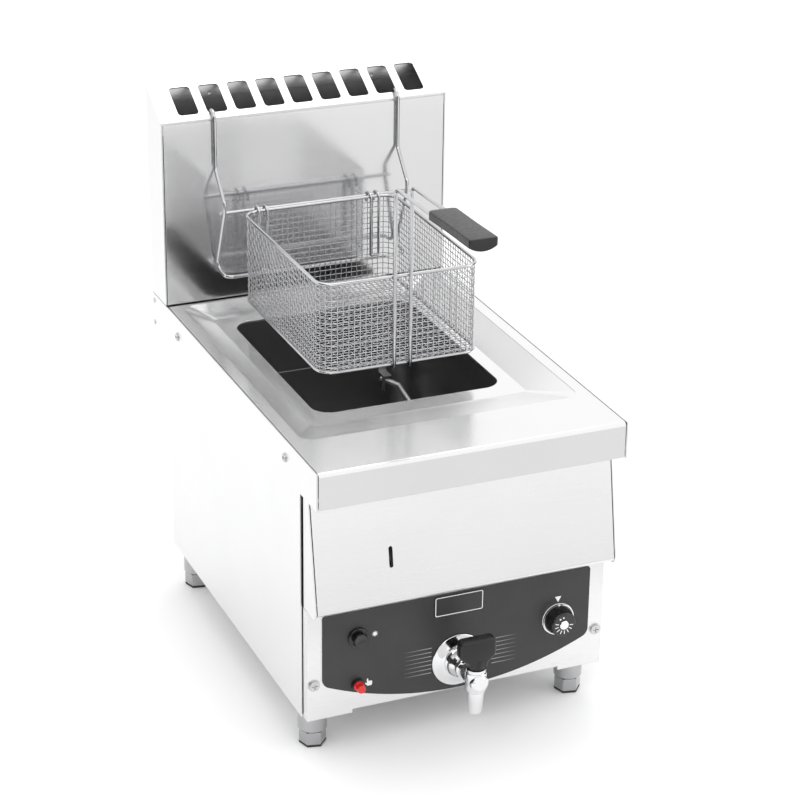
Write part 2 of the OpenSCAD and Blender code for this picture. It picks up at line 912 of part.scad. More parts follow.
module drain_pipe() {
    rear = mouth_y - mouth_d / 2 - sheet;
    color("silver") case() difference() {
        union() {
            bar_y(0, fascia_y + 3, drain_z, rear - fascia_y - 3.1, 11);
            bar_y(0, fascia_y + 4, drain_z, 12, 15.5, $fn = 6);
        }
        bar_y(0, fascia_y, drain_z, 140, 8);
    }
}

module tap_rosette() {
    color("silver") case() difference() {
        turned(0, fascia_y - overlay_t, drain_z) polygon([
            [0, 0], [rosette_r, 0], [rosette_r, 1.4], [rosette_r - 1.6, 3],
            [17.5, 5], [0, 5]
        ]);
        bar_y(0, fascia_y - 10, drain_z, 20, 11.2);
    }
}

module tap_body() {
    front = -tap_reach;
    color("silver") case() difference() {
        union() {
            turned(0, fascia_y - overlay_t - 5.1, drain_z) polygon([
                [0, 0], [16, 0], [15.6, 5], [13.5, 10], [10.5, 14], [10.5, 17],
                [9.2, 19], [9.2, fascia_y - overlay_t - 5.1 - front - 1],
                [8.4, fascia_y - overlay_t - 5.1 - front],
                [0, fascia_y - overlay_t - 5.1 - front]
            ]);
            bar_y(0, fascia_y - overlay_t - 5.5, drain_z, 9.4, 10.9);
            translate([0, tap_y, drain_z - 12]) cylinder(h = 22, r = 10.6);
            translate([0, tap_y, -278]) cylinder(h = 24.5, r1 = 6.6, r2 = 8.6);
        }
        bar_y(0, tap_y, drain_z, 60, 4.5);
        translate([0, tap_y, drain_z - 8]) cylinder(h = 40, r = plug_r + fit);
        translate([0, tap_y, -290]) cylinder(h = 60, r = 4.5);
    }
}

module tap_bonnet() {
    color("silver") case() difference() {
        translate([0, tap_y, drain_z + 10.05]) cylinder(h = 3.4, r = 9.8);
        translate([0, tap_y, drain_z]) cylinder(h = 30, r = plug_r + fit);
    }
}

module tap_plug() {
    color("silver") case() difference() {
        translate([0, tap_y, drain_z - 7.9]) cylinder(h = 25, r = plug_r);
        translate([0, tap_y, drain_z]) rotate([0, 90, 0]) cylinder(h = 20, r = 4);
        translate([0, tap_y, drain_z - 12]) cylinder(h = 12, r = 4);
    }
}

module tap_handle() {
    low = drain_z + 14;
    top = -196;
    half = 19;
    color("black") case() difference() {
        union() {
            translate([0, tap_y, low]) cylinder(h = 10, r = 8.6);
            hull() {
                for (s = [-1, 1]) {
                    translate([s * 4, tap_y, low + 5]) cylinder(h = 4, r = 6, $fn = 32);
                    translate([s * (half - 6), tap_y, low + 15])
                        cylinder(h = top - low - 17, r = 6, $fn = 32);
                    translate([s * (half - 8), tap_y, low + 15])
                        cylinder(h = top - low - 15, r = 5, $fn = 32);
                }
            }
        }
        translate([0, tap_y, low - 5]) cylinder(h = 8.2, r = plug_r + fit);
    }
}

// ---------------------------------------------------------------- grid, hanger and basket

module bottom_grid() {
    rung_r = 1.3;
    pitch = 20;
    color("silver") case() translate([grid_x, mouth_y, grid_z]) {
        wire_ring(grid_w, grid_d, 16, wire_r);
        for (i = [-3 : 3])
            translate([i * pitch, -grid_d / 2, 0]) rotate([-90, 0, 0]) cylinder(h = grid_d, r = rung_r);
        for (i = [-5 : 5])
            translate([-grid_w / 2, i * pitch, 0]) rotate([0, 90, 0]) cylinder(h = grid_w, r = rung_r);
    }
}

// Pull handle that stands up from the grid in front of the basket
module grid_handle() {
    y = mouth_y - grid_d / 2 - 2.2;
    x = [-84, -8];
    top = -19;
    bend = 7;
    rise = 14;
    color("silver") case() wire([
        [x[0] + rise, y + rise, grid_z], [x[0], y, grid_z + rise], [x[0], y, top - bend],
        [x[0] + bend, y, top], [x[1] - bend, y, top], [x[1], y, top - bend],
        [x[1], y, grid_z + rise], [x[1] - 9, y + rise, grid_z]
    ], wire_r);
}

hook_arc_r = 7.6;
hook_arc_z = hood_front_h - 0.8;
bar_y_low = basket_rear + 3.2;

module hanger_side() {
    back = hang_y + 0.2;
    wire([
        [hanger_x, hang_y, hook_arc_z + 0.01], [hanger_x, hang_y, 148],
        [hanger_x, rod_y - 2.5, 117], [hanger_x, rod_y - 2, 104],
        [hanger_x, back, bar_z + 2], [hanger_x - 0.6, back - 1.2, bar_z],
        [hanger_x - 1, bar_y_low + 5, bar_z], [hanger_x - 7, bar_y_low, bar_z],
        [-1, bar_y_low, bar_z]
    ], wire_r);
    translate([hanger_x, hang_y + hook_arc_r, hook_arc_z]) rotate([0, -90, 0])
        rotate([0, 0, -90]) rotate_extrude(angle = 180) translate([hook_arc_r, 0]) circle(wire_r);
    translate([hanger_x, hang_y + 2 * hook_arc_r, hook_arc_z - 13])
        cylinder(h = 13.02, r = wire_r);
}

module basket_hanger() {
    color("silver") case() {
        for (m = [0, 1]) mirror([m, 0, 0]) hanger_side();
        rod([-hanger_x - 4, rod_y, rod_z], [hanger_x + 4, rod_y, rod_z], wire_r);
    }
}

module basket_solid(grow, z0, h) {
    translate([0, basket_y, z0]) linear_extrude(h)
        rounded_rect(basket_w + 2 * grow, basket_d + 2 * grow, basket_r + grow);
}

module basket_mesh() {
    wall = 2;
    color("silver") case() difference() {
        basket_solid(0, basket_z, basket_h);
        basket_solid(-wall, basket_z + wall, basket_h);
    }
}

// One rear hook: two legs joined by a bridge, hung over the hanger's upper rod
module rear_hook(x) {
    inner_y = basket_rear - 3.6;
    crown_z = rim_z + rim_r + hook_r + 0.15;
    for (s = [-1, 1])
        wire([
            [x + s * 4.5, inner_y, bar_z + 6], [x + s * 4.5, inner_y, crown_z - 3.5],
            [x + s * 4.5, inner_y + 3.5, crown_z], [x + s * 4.5, rod_y + 1.2, crown_z],
            [x + s * 4.5, rod_y + 4.2, crown_z - 3], [x + s * 4.5, rod_y + 4.2, crown_z - 11]
        ], hook_r);
    rod([x - 4.5, inner_y, bar_z + 6], [x + 4.5, inner_y, bar_z + 6], hook_r);
}

post_y = basket_front - 2.6;
arm_end = grip_y + grip_l - 55;

// A point on the axis of a handle arm, which rises from its post towards the front
function on_arm(side, y) = [side * post_x, y, arm_z + (post_y - 5 - y) * tan(arm_rise)];

module basket_frame() {
    color("silver") case() {
        translate([0, basket_y, rim_z]) wire_ring(basket_w - 1, basket_d - 1, basket_r, rim_r);
        translate([0, basket_y, basket_z + 1.4])
            wire_ring(basket_w - 1, basket_d - 1, basket_r, 1.6);
        for (s = [-1, 1]) {
            wire([
                [s * post_x, post_y, basket_z - 0.6], [s * post_x, post_y, arm_z - 5],
                on_arm(s, post_y - 5), on_arm(s, arm_end)
            ], wire_r);
            rear_hook(s * 63);
        }
    }
}

// Cross-section of the grip: a flat top, short sides and a round belly
module grip_section(w, t) {
    side_t = 8;
    belly_r = ((w / 2) * (w / 2) + (t - side_t) * (t - side_t)) / (2 * (t - side_t));
    intersection() {
        translate([0, belly_r - t]) circle(belly_r, $fn = 96);
        translate([-w / 2, -t]) square([w, t]);
    }
}

module grip_slice(y, w, t) {
    translate([0, y, 0]) rotate([90, 0, 0]) linear_extrude(0.2) grip_section(w, t);
}

module handle_grip() {
    above_arm = 6;
    middle = grip_y + grip_l / 2;
    color("black") case() difference() {
        translate([0, middle, on_arm(0, middle).z + above_arm]) rotate([-arm_rise, 0, 0]) hull() {
            grip_slice(-grip_l / 2 + 0.2, grip_w - 3, grip_t - 1.5);
            grip_slice(-grip_l / 2 + 1.5, grip_w, grip_t);
            grip_slice(grip_l / 2 - 7, grip_w, grip_t - 1);
            grip_slice(grip_l / 2, grip_w - 11, grip_t - 3);
        }
        for (s = [-1, 1]) rod(on_arm(s, arm_end - 0.5), on_arm(s, post_y - 20), wire_r);
    }
}

// ---------------------------------------------------------------- feet and fasteners

module foot_sleeves() {
    roof = sheet;
    color("gray") case() for (sx = [-1, 1], y = foot_y)
        translate([sx * foot_x, y, 0]) difference() {
            union() {
                translate([0, 0, sleeve_low + 2])
                    cylinder(h = -body_h - sleeve_low - 2.05, r = sleeve_r);
                translate([0, 0, sleeve_low]) cylinder(h = 2.01, r1 = 13, r2 = sleeve_r);
                translate([0, 0, -body_h - 0.1]) cylinder(h = 6, r = 4.9);
            }
            translate([0, 0, sleeve_low - 1])
                cylinder(h = -body_h - sleeve_low - roof - 1, r = stud_r + fit);
        }
}

module foot(x, y) {
    pad = 2.5;
    stud_l = 22;
    hex_top = sleeve_low - 0.4;
    color("gray") case() translate([x, y, 0]) rotate([0, 0, -13]) {
        translate([0, 0, -top_z]) cylinder(h = pad, r = hex_r - 0.6, $fn = 6);
        translate([0, 0, -top_z + pad - eps])
            cylinder(h = hex_top + top_z - pad + eps, r = hex_r, $fn = 6);
        translate([0, 0, hex_top - eps]) cylinder(h = stud_l, r = stud_r);
    }
}

module foot_front_left() {
    foot(-foot_x, foot_y[0]);
}

module foot_front_right() {
    foot(foot_x, foot_y[0]);
}

module foot_rear_left() {
    foot(-foot_x, foot_y[1]);
}

module foot_rear_right() {
    foot(foot_x, foot_y[1]);
}

module fascia_screws() {
    for (p = fascia_screw_at) difference() {
        union() {
            turned(p.x, fascia_y - 0.02, p.y) {
                square([6, 1.2]);
                square([5, 2.6]);
            }
            bar_y(p.x, fascia_y - 1, p.y, 12, 3);
        }
        for (a = [0, 90])
            translate([p.x, fascia_y - 2.6, p.y]) rotate([0, a, 0])
                translate([-3, -1, -0.6]) cube([6, 2.4, 1.2]);
    }
}

module side_screws() {
    for (s = [-1, 1], p = side_screw_at)
        translate([s * body_w / 2, p.x, p.y]) rotate([0, s * 90, 0]) difference() {
            union() {
                translate([0, 0, 0.02]) cylinder(h = 1, r = 4.6);
                translate([0, 0, 0.02]) cylinder(h = 1.9, r = 3.8);
                translate([0, 0, -8]) cylinder(h = 9, r = 2);
            }
            translate([0, 0, 0.9]) cylinder(h = 2, r = 2, $fn = 6);
        }
}

module casing_screws() {
    color("silver") case() {
        fascia_screws();
        side_screws();
    }
}

module ear_rivets() {
    color("dimgray") case() for (s = [-1, 1], p = rivet_at)
        translate([s * body_w / 2, p.x, p.y]) rotate([0, s * 90, 0]) {
            translate([0, 0, 0.02]) cylinder(h = 0.7, r = 2.6);
            translate([0, 0, -4.5]) cylinder(h = 5, r = 1.65);
        }
}

// ---------------------------------------------------------------- nodes

left_side_panel();
right_side_panel();
top_plate();
rear_panel();
base_plate();
front_frame();
front_deflector();
control_fascia();
control_overlay();
badge_plate();
flue_hood();
flue_front_panel();
flue_back_panel();
hood_floor();
flue_duct();
oil_tank();
combustion_chamber();
burner_left();
burner_right();
gas_manifold();
gas_valve();
gas_supply_pipe();
gas_inlet_fitting();
pilot_burner();
thermocouple();
spark_electrode();
thermostat_bulb();
limit_bulb();
bulb_bracket();
igniter_body();
igniter_button();
igniter_spring();
reset_thermostat();
reset_collar();
reset_button();
valve_plunger();
knob_spring();
valve_spindle();
knob_bezel();
control_knob();
knob_cap();
drain_pipe();
tap_rosette();
tap_body();
tap_bonnet();
tap_plug();
tap_handle();
bottom_grid();
grid_handle();
basket_hanger();
basket_mesh();
basket_frame();
handle_grip();
foot_sleeves();
foot_front_left();
foot_front_right();
foot_rear_left();
foot_rear_right();
casing_screws();
ear_rivets();
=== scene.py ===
"""Looks of the countertop gas fryer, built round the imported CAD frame. Everything is in metres."""

import math

import bpy
from mathutils import Matrix, Vector


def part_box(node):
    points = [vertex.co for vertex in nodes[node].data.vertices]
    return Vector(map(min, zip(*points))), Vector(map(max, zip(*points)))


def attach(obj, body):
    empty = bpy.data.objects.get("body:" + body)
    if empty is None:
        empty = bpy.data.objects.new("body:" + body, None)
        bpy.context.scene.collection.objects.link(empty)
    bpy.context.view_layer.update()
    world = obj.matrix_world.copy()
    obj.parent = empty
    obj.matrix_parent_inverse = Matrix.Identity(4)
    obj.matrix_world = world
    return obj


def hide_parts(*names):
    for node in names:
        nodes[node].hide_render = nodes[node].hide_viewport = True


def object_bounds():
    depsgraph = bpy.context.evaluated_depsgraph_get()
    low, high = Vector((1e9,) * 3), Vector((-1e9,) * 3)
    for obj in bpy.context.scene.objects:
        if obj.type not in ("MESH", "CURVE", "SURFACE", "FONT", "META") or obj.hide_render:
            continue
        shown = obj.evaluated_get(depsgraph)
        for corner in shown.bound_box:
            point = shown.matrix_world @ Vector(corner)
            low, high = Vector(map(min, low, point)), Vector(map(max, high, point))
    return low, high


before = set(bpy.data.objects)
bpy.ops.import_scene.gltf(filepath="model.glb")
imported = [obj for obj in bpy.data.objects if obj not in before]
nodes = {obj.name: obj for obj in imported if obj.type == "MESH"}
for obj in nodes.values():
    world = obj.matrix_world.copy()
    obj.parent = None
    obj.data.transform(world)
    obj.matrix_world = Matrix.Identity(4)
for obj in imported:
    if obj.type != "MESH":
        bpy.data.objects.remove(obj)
cad_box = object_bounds()
MM = 0.001


# ------------------------------------------------------------------ materials

class Shader:
    """A Principled material built up one procedural layer at a time."""

    def __init__(self, name, **constants):
        self.mat = bpy.data.materials.new(name)
        self.mat.use_nodes = True
        self.tree = self.mat.node_tree
        self.bsdf = self.tree.nodes["Principled BSDF"]
        for key, value in constants.items():
            self.bsdf.inputs[key.replace("_", " ")].default_value = value
        self.normal = None

    def node(self, kind, **settings):
        made = self.tree.nodes.new(kind)
        for key, value in settings.items():
            if hasattr(made, key):
                setattr(made, key, value)
            else:
                made.inputs[key.replace("_", " ")].default_value = value
        return made

    def join(self, out, into):
        self.tree.links.new(out, into)

    def coords(self, scale=(1, 1, 1)):
        """Object coordinates stretched by scale, so that grain runs along the axis with the small number."""
        texture = self.node("ShaderNodeTexCoord")
        mapping = self.node("ShaderNodeMapping")
        mapping.inputs["Scale"].default_value = scale
        self.join(texture.outputs["Object"], mapping.inputs["Vector"])
        return mapping.outputs["Vector"]

    def noise(self, scale, stretch=(1, 1, 1), detail=3.0):
        made = self.node("ShaderNodeTexNoise")
        made.inputs["Scale"].default_value = scale
        made.inputs["Detail"].default_value = detail
        self.join(self.coords(stretch), made.inputs["Vector"])
        return made.outputs["Fac"]

    def ramp(self, value, low, high):
        """Maps a 0..1 value to low..high."""
        made = self.node("ShaderNodeMapRange")
        made.inputs["From Min"].default_value = 0.3
        made.inputs["From Max"].default_value = 0.7
        made.inputs["To Min"].default_value = low
        made.inputs["To Max"].default_value = high
        self.join(value, made.inputs["Value"])
        return made.outputs["Result"]

    def tint(self, value, first, second):
        """Base colour between two tones; the Mix node's sockets 6 and 7 are its A and B colours."""
        made = self.node("ShaderNodeMix", data_type="RGBA")
        made.inputs[6].default_value = (*first, 1)
        made.inputs[7].default_value = (*second, 1)
        self.join(value, made.inputs[0])
        self.join(made.outputs[2], self.bsdf.inputs["Base Color"])

    def roughness(self, value, low, high):
        self.join(self.ramp(value, low, high), self.bsdf.inputs["Roughness"])

    def soft_edges(self, radius):
        """Rounds sheet-metal edges in the shading."""
        made = self.node("ShaderNodeBevel", samples=4)
        made.inputs["Radius"].default_value = radius
        self.normal = made.outputs["Normal"]
        self.join(self.normal, self.bsdf.inputs["Normal"])

    def bump(self, value, distance, strength=1.0):
        made = self.node("ShaderNodeBump")
        made.inputs["Distance"].default_value = distance
        made.inputs["Strength"].default_value = strength
        self.join(value, made.inputs["Height"])
        if self.normal is not None:
            self.join(self.normal, made.inputs["Normal"])
        self.normal = made.outputs["Normal"]
        self.join(self.normal, self.bsdf.inputs["Normal"])


def brushed_steel(name, tone, rough, grain, edge=0.5 * MM, spread=0.03, depth=0.0012 * MM):
    """Satin stainless sheet: fine grain along one axis, faint cloudy wear and rounded edges."""
    s = Shader(name, Metallic=1.0, Anisotropic=0.35)
    streaks = s.noise(1.0, grain, 2.0)
    clouds = s.noise(9.0, (1, 1, 1), 4.0)
    s.tint(s.ramp(clouds, 0.0, 1.0), (tone * 0.975,) * 3, (tone, tone, tone * 1.005))
    s.roughness(streaks, rough - spread, rough + spread)
    s.soft_edges(edge)
    s.bump(streaks, depth, 0.5)
    return s.mat


def plated(name, tone, rough):
    """Chrome or bright drawn wire with faint draw marks and small dull patches."""
    s = Shader(name, Metallic=1.0)
    patches = s.noise(60.0, (1, 1, 1), 4.0)
    s.tint(s.ramp(patches, 0.0, 1.0), tuple(c * 0.93 for c in tone), tone)
    s.roughness(patches, rough, rough * 2.2)
    s.bump(s.noise(900.0), 0.01 * MM, 0.25)
    return s.mat


def moulded(name, tone, rough, grain_size, grain_depth, coat=0.0):
    """Moulded plastic with its surface texture and slight colour drift."""
    s = Shader(name, Coat_Weight=coat, Coat_Roughness=0.12)
    drift = s.noise(25.0, (1, 1, 1), 2.0)
    s.tint(s.ramp(drift, 0.0, 1.0), tuple(c * 0.85 for c in tone), tone)
    s.roughness(s.noise(220.0), rough - 0.05, rough + 0.06)
    s.bump(s.noise(grain_size), grain_depth, 0.5)
    return s.mat


def printed(name, tone):
    """Screen-printed ink, slightly uneven."""
    s = Shader(name)
    mottle = s.noise(1500.0)
    s.tint(s.ramp(mottle, 0.0, 1.0), tuple(c * 0.9 for c in tone), tone)
    s.roughness(mottle, 0.45, 0.6)
    return s.mat


# how often the grain changes per metre along X, Y and Z
ACROSS = (4, 2400, 2400)
UPRIGHT = (2400, 2400, 4)
CASING = brushed_steel("casing_steel", 0.82, 0.32, UPRIGHT)
CASING_ACROSS = brushed_steel("casing_steel_across", 0.80, 0.30, ACROSS)
WORKTOP = brushed_steel("worktop_steel", 0.82, 0.20, ACROSS)
FLUE_FRONT = brushed_steel("flue_front_steel", 0.80, 0.15, ACROSS, depth=0.005 * MM)
PLAIN = brushed_steel("plain_steel", 0.62, 0.38, UPRIGHT)
TANK = brushed_steel("tank_steel", 0.40, 0.34, UPRIGHT)
CHROME = plated("chrome", (0.83, 0.83, 0.84), 0.045)
WIRE = plated("bright_wire", (0.58, 0.58, 0.59), 0.10)
BRASS = plated("brass", (0.72, 0.54, 0.22), 0.22)
COPPER = plated("copper", (0.70, 0.38, 0.24), 0.24)
FASTENER = plated("fastener_steel", (0.62, 0.62, 0.63), 0.18)
PANEL = moulded("panel_grey", (0.030, 0.030, 0.030), 0.42, 2600.0, 0.01 * MM)
BLACK = moulded("black_gloss", (0.012, 0.012, 0.012), 0.22, 1800.0, 0.01 * MM, 0.3)
GRIP = moulded("black_matt", (0.009, 0.009, 0.009), 0.34, 1500.0, 0.05 * MM)
RED = moulded("red_plastic", (0.62, 0.012, 0.012), 0.26, 1500.0, 0.01 * MM, 0.4)
CERAMIC = moulded("ceramic", (0.80, 0.78, 0.72), 0.25, 900.0, 0.01 * MM, 0.3)
FOOT = plated("foot_steel", (0.46, 0.46, 0.47), 0.10)
# painted shade: a black material for the discs under the feet, standing in for the shade at their bases
FOOT_SHADE_BLACK = moulded("painted_foot_shade_black", (0.02, 0.02, 0.02), 0.6, 1200.0, 0.04 * MM)
INK = printed("white_ink", (0.86, 0.86, 0.86))


def hot_steel():
    """Burner and duct steel with straw and blue heat tint."""
    s = Shader("hot_steel", Metallic=1.0)
    s.tint(s.ramp(s.noise(30.0), 0.0, 1.0), (0.30, 0.24, 0.19), (0.32, 0.33, 0.36))
    s.roughness(s.noise(90.0), 0.35, 0.55)
    s.soft_edges(0.5 * MM)
    return s.mat


HOT = hot_steel()

FINISH = {
    "left_side_panel": CASING, "right_side_panel": CASING, "front_frame": CASING,
    "front_deflector": CASING_ACROSS, "control_fascia": CASING_ACROSS, "top_plate": WORKTOP,
    "flue_hood": CASING_ACROSS, "flue_front_panel": FLUE_FRONT, "flue_back_panel": PLAIN,
    "rear_panel": PLAIN, "base_plate": PLAIN, "hood_floor": PLAIN, "gas_valve": PLAIN,
    "drain_pipe": PLAIN, "bulb_bracket": PLAIN, "foot_sleeves": FOOT, "oil_tank": TANK,
    "combustion_chamber": HOT, "flue_duct": HOT, "burner_left": HOT, "burner_right": HOT,
    "pilot_burner": HOT, "control_overlay": PANEL, "knob_cap": PANEL, "badge_plate": PANEL,
    "gas_manifold": BRASS, "gas_supply_pipe": BRASS, "gas_inlet_fitting": BRASS,
    "thermocouple": COPPER, "thermostat_bulb": PLAIN, "limit_bulb": PLAIN,
    "spark_electrode": CERAMIC, "igniter_body": BLACK, "igniter_button": BLACK,
    "reset_collar": BLACK, "control_knob": BLACK, "tap_handle": GRIP, "handle_grip": GRIP,
    "reset_button": RED, "tap_rosette": CHROME, "tap_body": CHROME, "tap_bonnet": CHROME,
    "tap_plug": CHROME, "knob_bezel": CHROME, "bottom_grid": WIRE, "basket_hanger": WIRE,
    "basket_frame": WIRE, "basket_mesh": WIRE, "foot_front_left": FOOT, "grid_handle": WIRE,
    "foot_front_right": FOOT, "foot_rear_left": FOOT, "foot_rear_right": FOOT,
}
for node_name, node_object in nodes.items():
    node_object.data.materials.clear()
    node_object.data.materials.append(FINISH.get(node_name, FASTENER))


# ------------------------------------------------------------------ mesh helpers

def make(name, verts, faces, material, body, sharp=35.0):
    """A smooth-shaded mesh piece that rides on a CAD body, with edges over sharp degrees kept crisp."""
    mesh = bpy.data.meshes.new(name)
    mesh.from_pydata([tuple(v) for v in verts], [], faces)
    mesh.validate()
    mesh.shade_smooth()
    mesh.set_sharp_from_angle(angle=math.radians(sharp))
    mesh.materials.append(material)
    piece = bpy.data.objects.new(name, mesh)
    bpy.context.scene.collection.objects.link(piece)
    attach(piece, body)
    return piece


class Build:
    """Vertices and faces gathered from several shapes into one piece."""

    def __init__(self):
        self.verts = []
        self.faces = []

    def add(self, verts, faces):
        base = len(self.verts)
        self.verts += verts
        self.faces += [tuple(base + i for i in f) for f in faces]
        return self

    def piece(self, name, material, body, sharp=35.0):
        return make(name, self.verts, self.faces, material, body, sharp)


def rounded_path(points, bend, steps=6):
    """The polyline with each corner replaced by an arc of about the bend radius."""
    points = [Vector(p) for p in points]
    path = [points[0]]
    for before, corner, after in zip(points, points[1:], points[2:]):
        a = before - corner
        b = after - corner
        turn = math.pi - a.angle(b)
        if turn < 0.02:
            continue
        reach = min(bend * math.tan(turn / 2), 0.48 * a.length, 0.48 * b.length)
        radius = reach / math.tan(turn / 2)
        bisector = (a.normalized() + b.normalized()).normalized()
        centre = corner + bisector * math.hypot(radius, reach)
        start = corner + a.normalized() * reach - centre
        axis = a.cross(b).normalized()
        path += [centre + Matrix.Rotation(-turn * i / steps, 3, axis) @ start for i in range(steps + 1)]
    path.append(points[-1])
    return path


def sweep(path, radius, sides=10, closed=False, ends=True):
    """A round wire along a path, with small domed ends: (verts, faces)."""
    path = [Vector(p) for p in path]
    count = len(path)
    tangents = []
    for i in range(count):
        ahead = path[(i + 1) % count] if closed or i < count - 1 else path[i]
        behind = path[i - 1] if closed or i > 0 else path[i]
        tangents.append((ahead - behind).normalized())
    side = tangents[0].orthogonal().normalized()
    rings = []
    for i, t in enumerate(tangents):
        if i:
            side = (side - side.dot(t) * t).normalized()
        rings.append((path[i], t, side, radius))
    if ends and not closed:
        first, last = rings[0], rings[-1]
        for shrink, out in ((0.75, 0.45), (0.3, 0.75)):
            rings.insert(0, (first[0] - first[1] * radius * out, first[1], first[2], radius * shrink))
            rings.append((last[0] + last[1] * radius * out, last[1], last[2], radius * shrink))
    verts = []
    for centre, t, side, r in rings:
        other = t.cross(side)
        for k in range(sides):
            a = 2 * math.pi * k / sides
            verts.append(centre + (side * math.cos(a) + other * math.sin(a)) * r)
    faces = []
    total = len(rings)
    for i in range(total if closed else total - 1):
        j = (i + 1) % total
        for k in range(sides):
            m = (k + 1) % sides
            faces.append((i * sides + k, i * sides + m, j * sides + m, j * sides + k))
    if not closed:
        faces.append(tuple(range(sides))[::-1])
        faces.append(tuple((total - 1) * sides + k for k in range(sides)))
    return verts, faces


def lathe(profile, origin, axis, segments=64):
    """A turned shape: profile is (radius, distance along axis), from one end on the axis to the other."""
    axis = Vector(axis).normalized()
    side = axis.orthogonal().normalized()
    other = axis.cross(side)
    origin = Vector(origin)
    verts = []
    rows = []
    for radius, along in profile:
        centre = origin + axis * along
        if radius < 1e-7:
            rows.append([len(verts)] * segments)
            verts.append(centre)
            continue
        rows.append([len(verts) + k for k in range(segments)])
        for k in range(segments):
            a = 2 * math.pi * k / segments
            verts.append(centre + (side * math.cos(a) + other * math.sin(a)) * radius)
    faces = []
    for low, high in zip(rows, rows[1:]):
        for k in range(segments):
            m = (k + 1) % segments
            loop = [low[k], low[m], high[m], high[k]]
            face = [v for i, v in enumerate(loop) if v not in loop[:i]]
            if len(face) > 2:
                faces.append(tuple(face))
    return verts, faces


def arc(cx, cy, radius, start, stop, steps=6):
    """Points of an arc, angles in degrees."""
    return [
        (cx + radius * math.cos(math.radians(start + (stop - start) * i / steps)),
         cy + radius * math.sin(math.radians(start + (stop - start) * i / steps)))
        for i in range(steps + 1)
    ]


def rounded_outline(corners, radius, steps=5):
    """A 2-D outline with rounded corners; radius is one number or one per corner."""
    count = len(corners)
    radii = [radius] * count if isinstance(radius, (int, float)) else radius
    outline = []
    for i in range(count):
        corner = Vector((*corners[i], 0))
        a = Vector((*corners[i - 1], 0)) - corner
        b = Vector((*corners[(i + 1) % count], 0)) - corner
        turn = math.pi - a.angle(b)
        reach = min(radii[i] * math.tan(turn / 2), 0.49 * a.length, 0.49 * b.length)
        r = reach / math.tan(turn / 2)
        centre = corner + (a.normalized() + b.normalized()).normalized() * math.hypot(r, reach)
        start = corner + a.normalized() * reach - centre
        sign = 1 if a.cross(b).z < 0 else -1
        for k in range(steps + 1):
            p = centre + Matrix.Rotation(sign * turn * k / steps, 3, "Z") @ start
            outline.append((p.x, p.y))
    return outline


def inset(outline, amount):
    """The outline moved inwards by amount along its own normals (it runs anticlockwise)."""
    moved = []
    count = len(outline)
    for i in range(count):
        p = Vector(outline[i])
        a = (p - Vector(outline[i - 1])).normalized()
        b = (Vector(outline[(i + 1) % count]) - p).normalized()
        n1 = Vector((-a.y, a.x))
        n2 = Vector((-b.y, b.x))
        n = (n1 + n2).normalized()
        moved.append(tuple(p + n * amount / max(0.3, n.dot(n1))))
    return moved


def pillow(outline, thickness, edge, place, steps=5):
    """A plate of the outline with quarter-round edges. place maps (u, v, w) to the row frame."""
    layers = []
    for k in range(steps + 1):
        a = math.pi / 2 * k / steps
        layers.append((edge * (1 - math.sin(a)), -thickness / 2 + edge * (1 - math.cos(a))))
    layers += [(d, -w) for d, w in reversed(layers)]
    verts = []
    for depth, w in layers:
        verts += [place(u, v, w) for u, v in inset(outline, depth)]
    n = len(outline)
    faces = [tuple(range(n))[::-1], tuple((len(layers) - 1) * n + i for i in range(n))]
    for j in range(len(layers) - 1):
        for i in range(n):
            m = (i + 1) % n
            faces.append((j * n + i, j * n + m, (j + 1) * n + m, (j + 1) * n + i))
    return verts, faces


def decal(outline, place, lift=0.06 * MM):
    """A thin closed ink or plate layer: place maps (u, v, height) to the row frame."""
    n = len(outline)
    verts = [place(u, v, 0.0) for u, v in outline] + [place(u, v, lift) for u, v in outline]
    faces = [tuple(range(n))[::-1], tuple(range(n, 2 * n))]
    faces += [(i, (i + 1) % n, n + (i + 1) % n, n + i) for i in range(n)]
    return verts, faces


# ------------------------------------------------------------------ basket, hanger and bottom screen

def perimeter(half_w, half_d, corner, centre_y):
    """A function from arc length to (point, outward normal) round a rounded rectangle, and its length."""
    straights = (2 * (half_w - corner), 2 * (half_d - corner))
    bend = math.pi / 2 * corner
    sides = [(straights[0], (-half_w + corner, -half_d), 0), (straights[1], (half_w, -half_d + corner), 90),
             (straights[0], (half_w - corner, half_d), 180), (straights[1], (-half_w, half_d - corner), 270)]
    total = 2 * sum(straights) + 4 * bend

    def at(s):
        s %= total
        for length, start, heading in sides:
            along = Vector((math.cos(math.radians(heading)), math.sin(math.radians(heading))))
            outward = Vector((along.y, -along.x))
            if s <= length:
                p = Vector(start) + along * s
                return Vector((p.x, p.y + centre_y, 0)), Vector((*outward, 0))
            s -= length
            if s <= bend:
                a = s / corner
                normal = outward * math.cos(a) + along * math.sin(a)
                centre = Vector(start) + along * length - outward * corner
                p = centre + normal * corner
                return Vector((p.x, p.y + centre_y, 0)), Vector((*normal, 0))
            s -= bend
        return at(0.0)

    return at, total


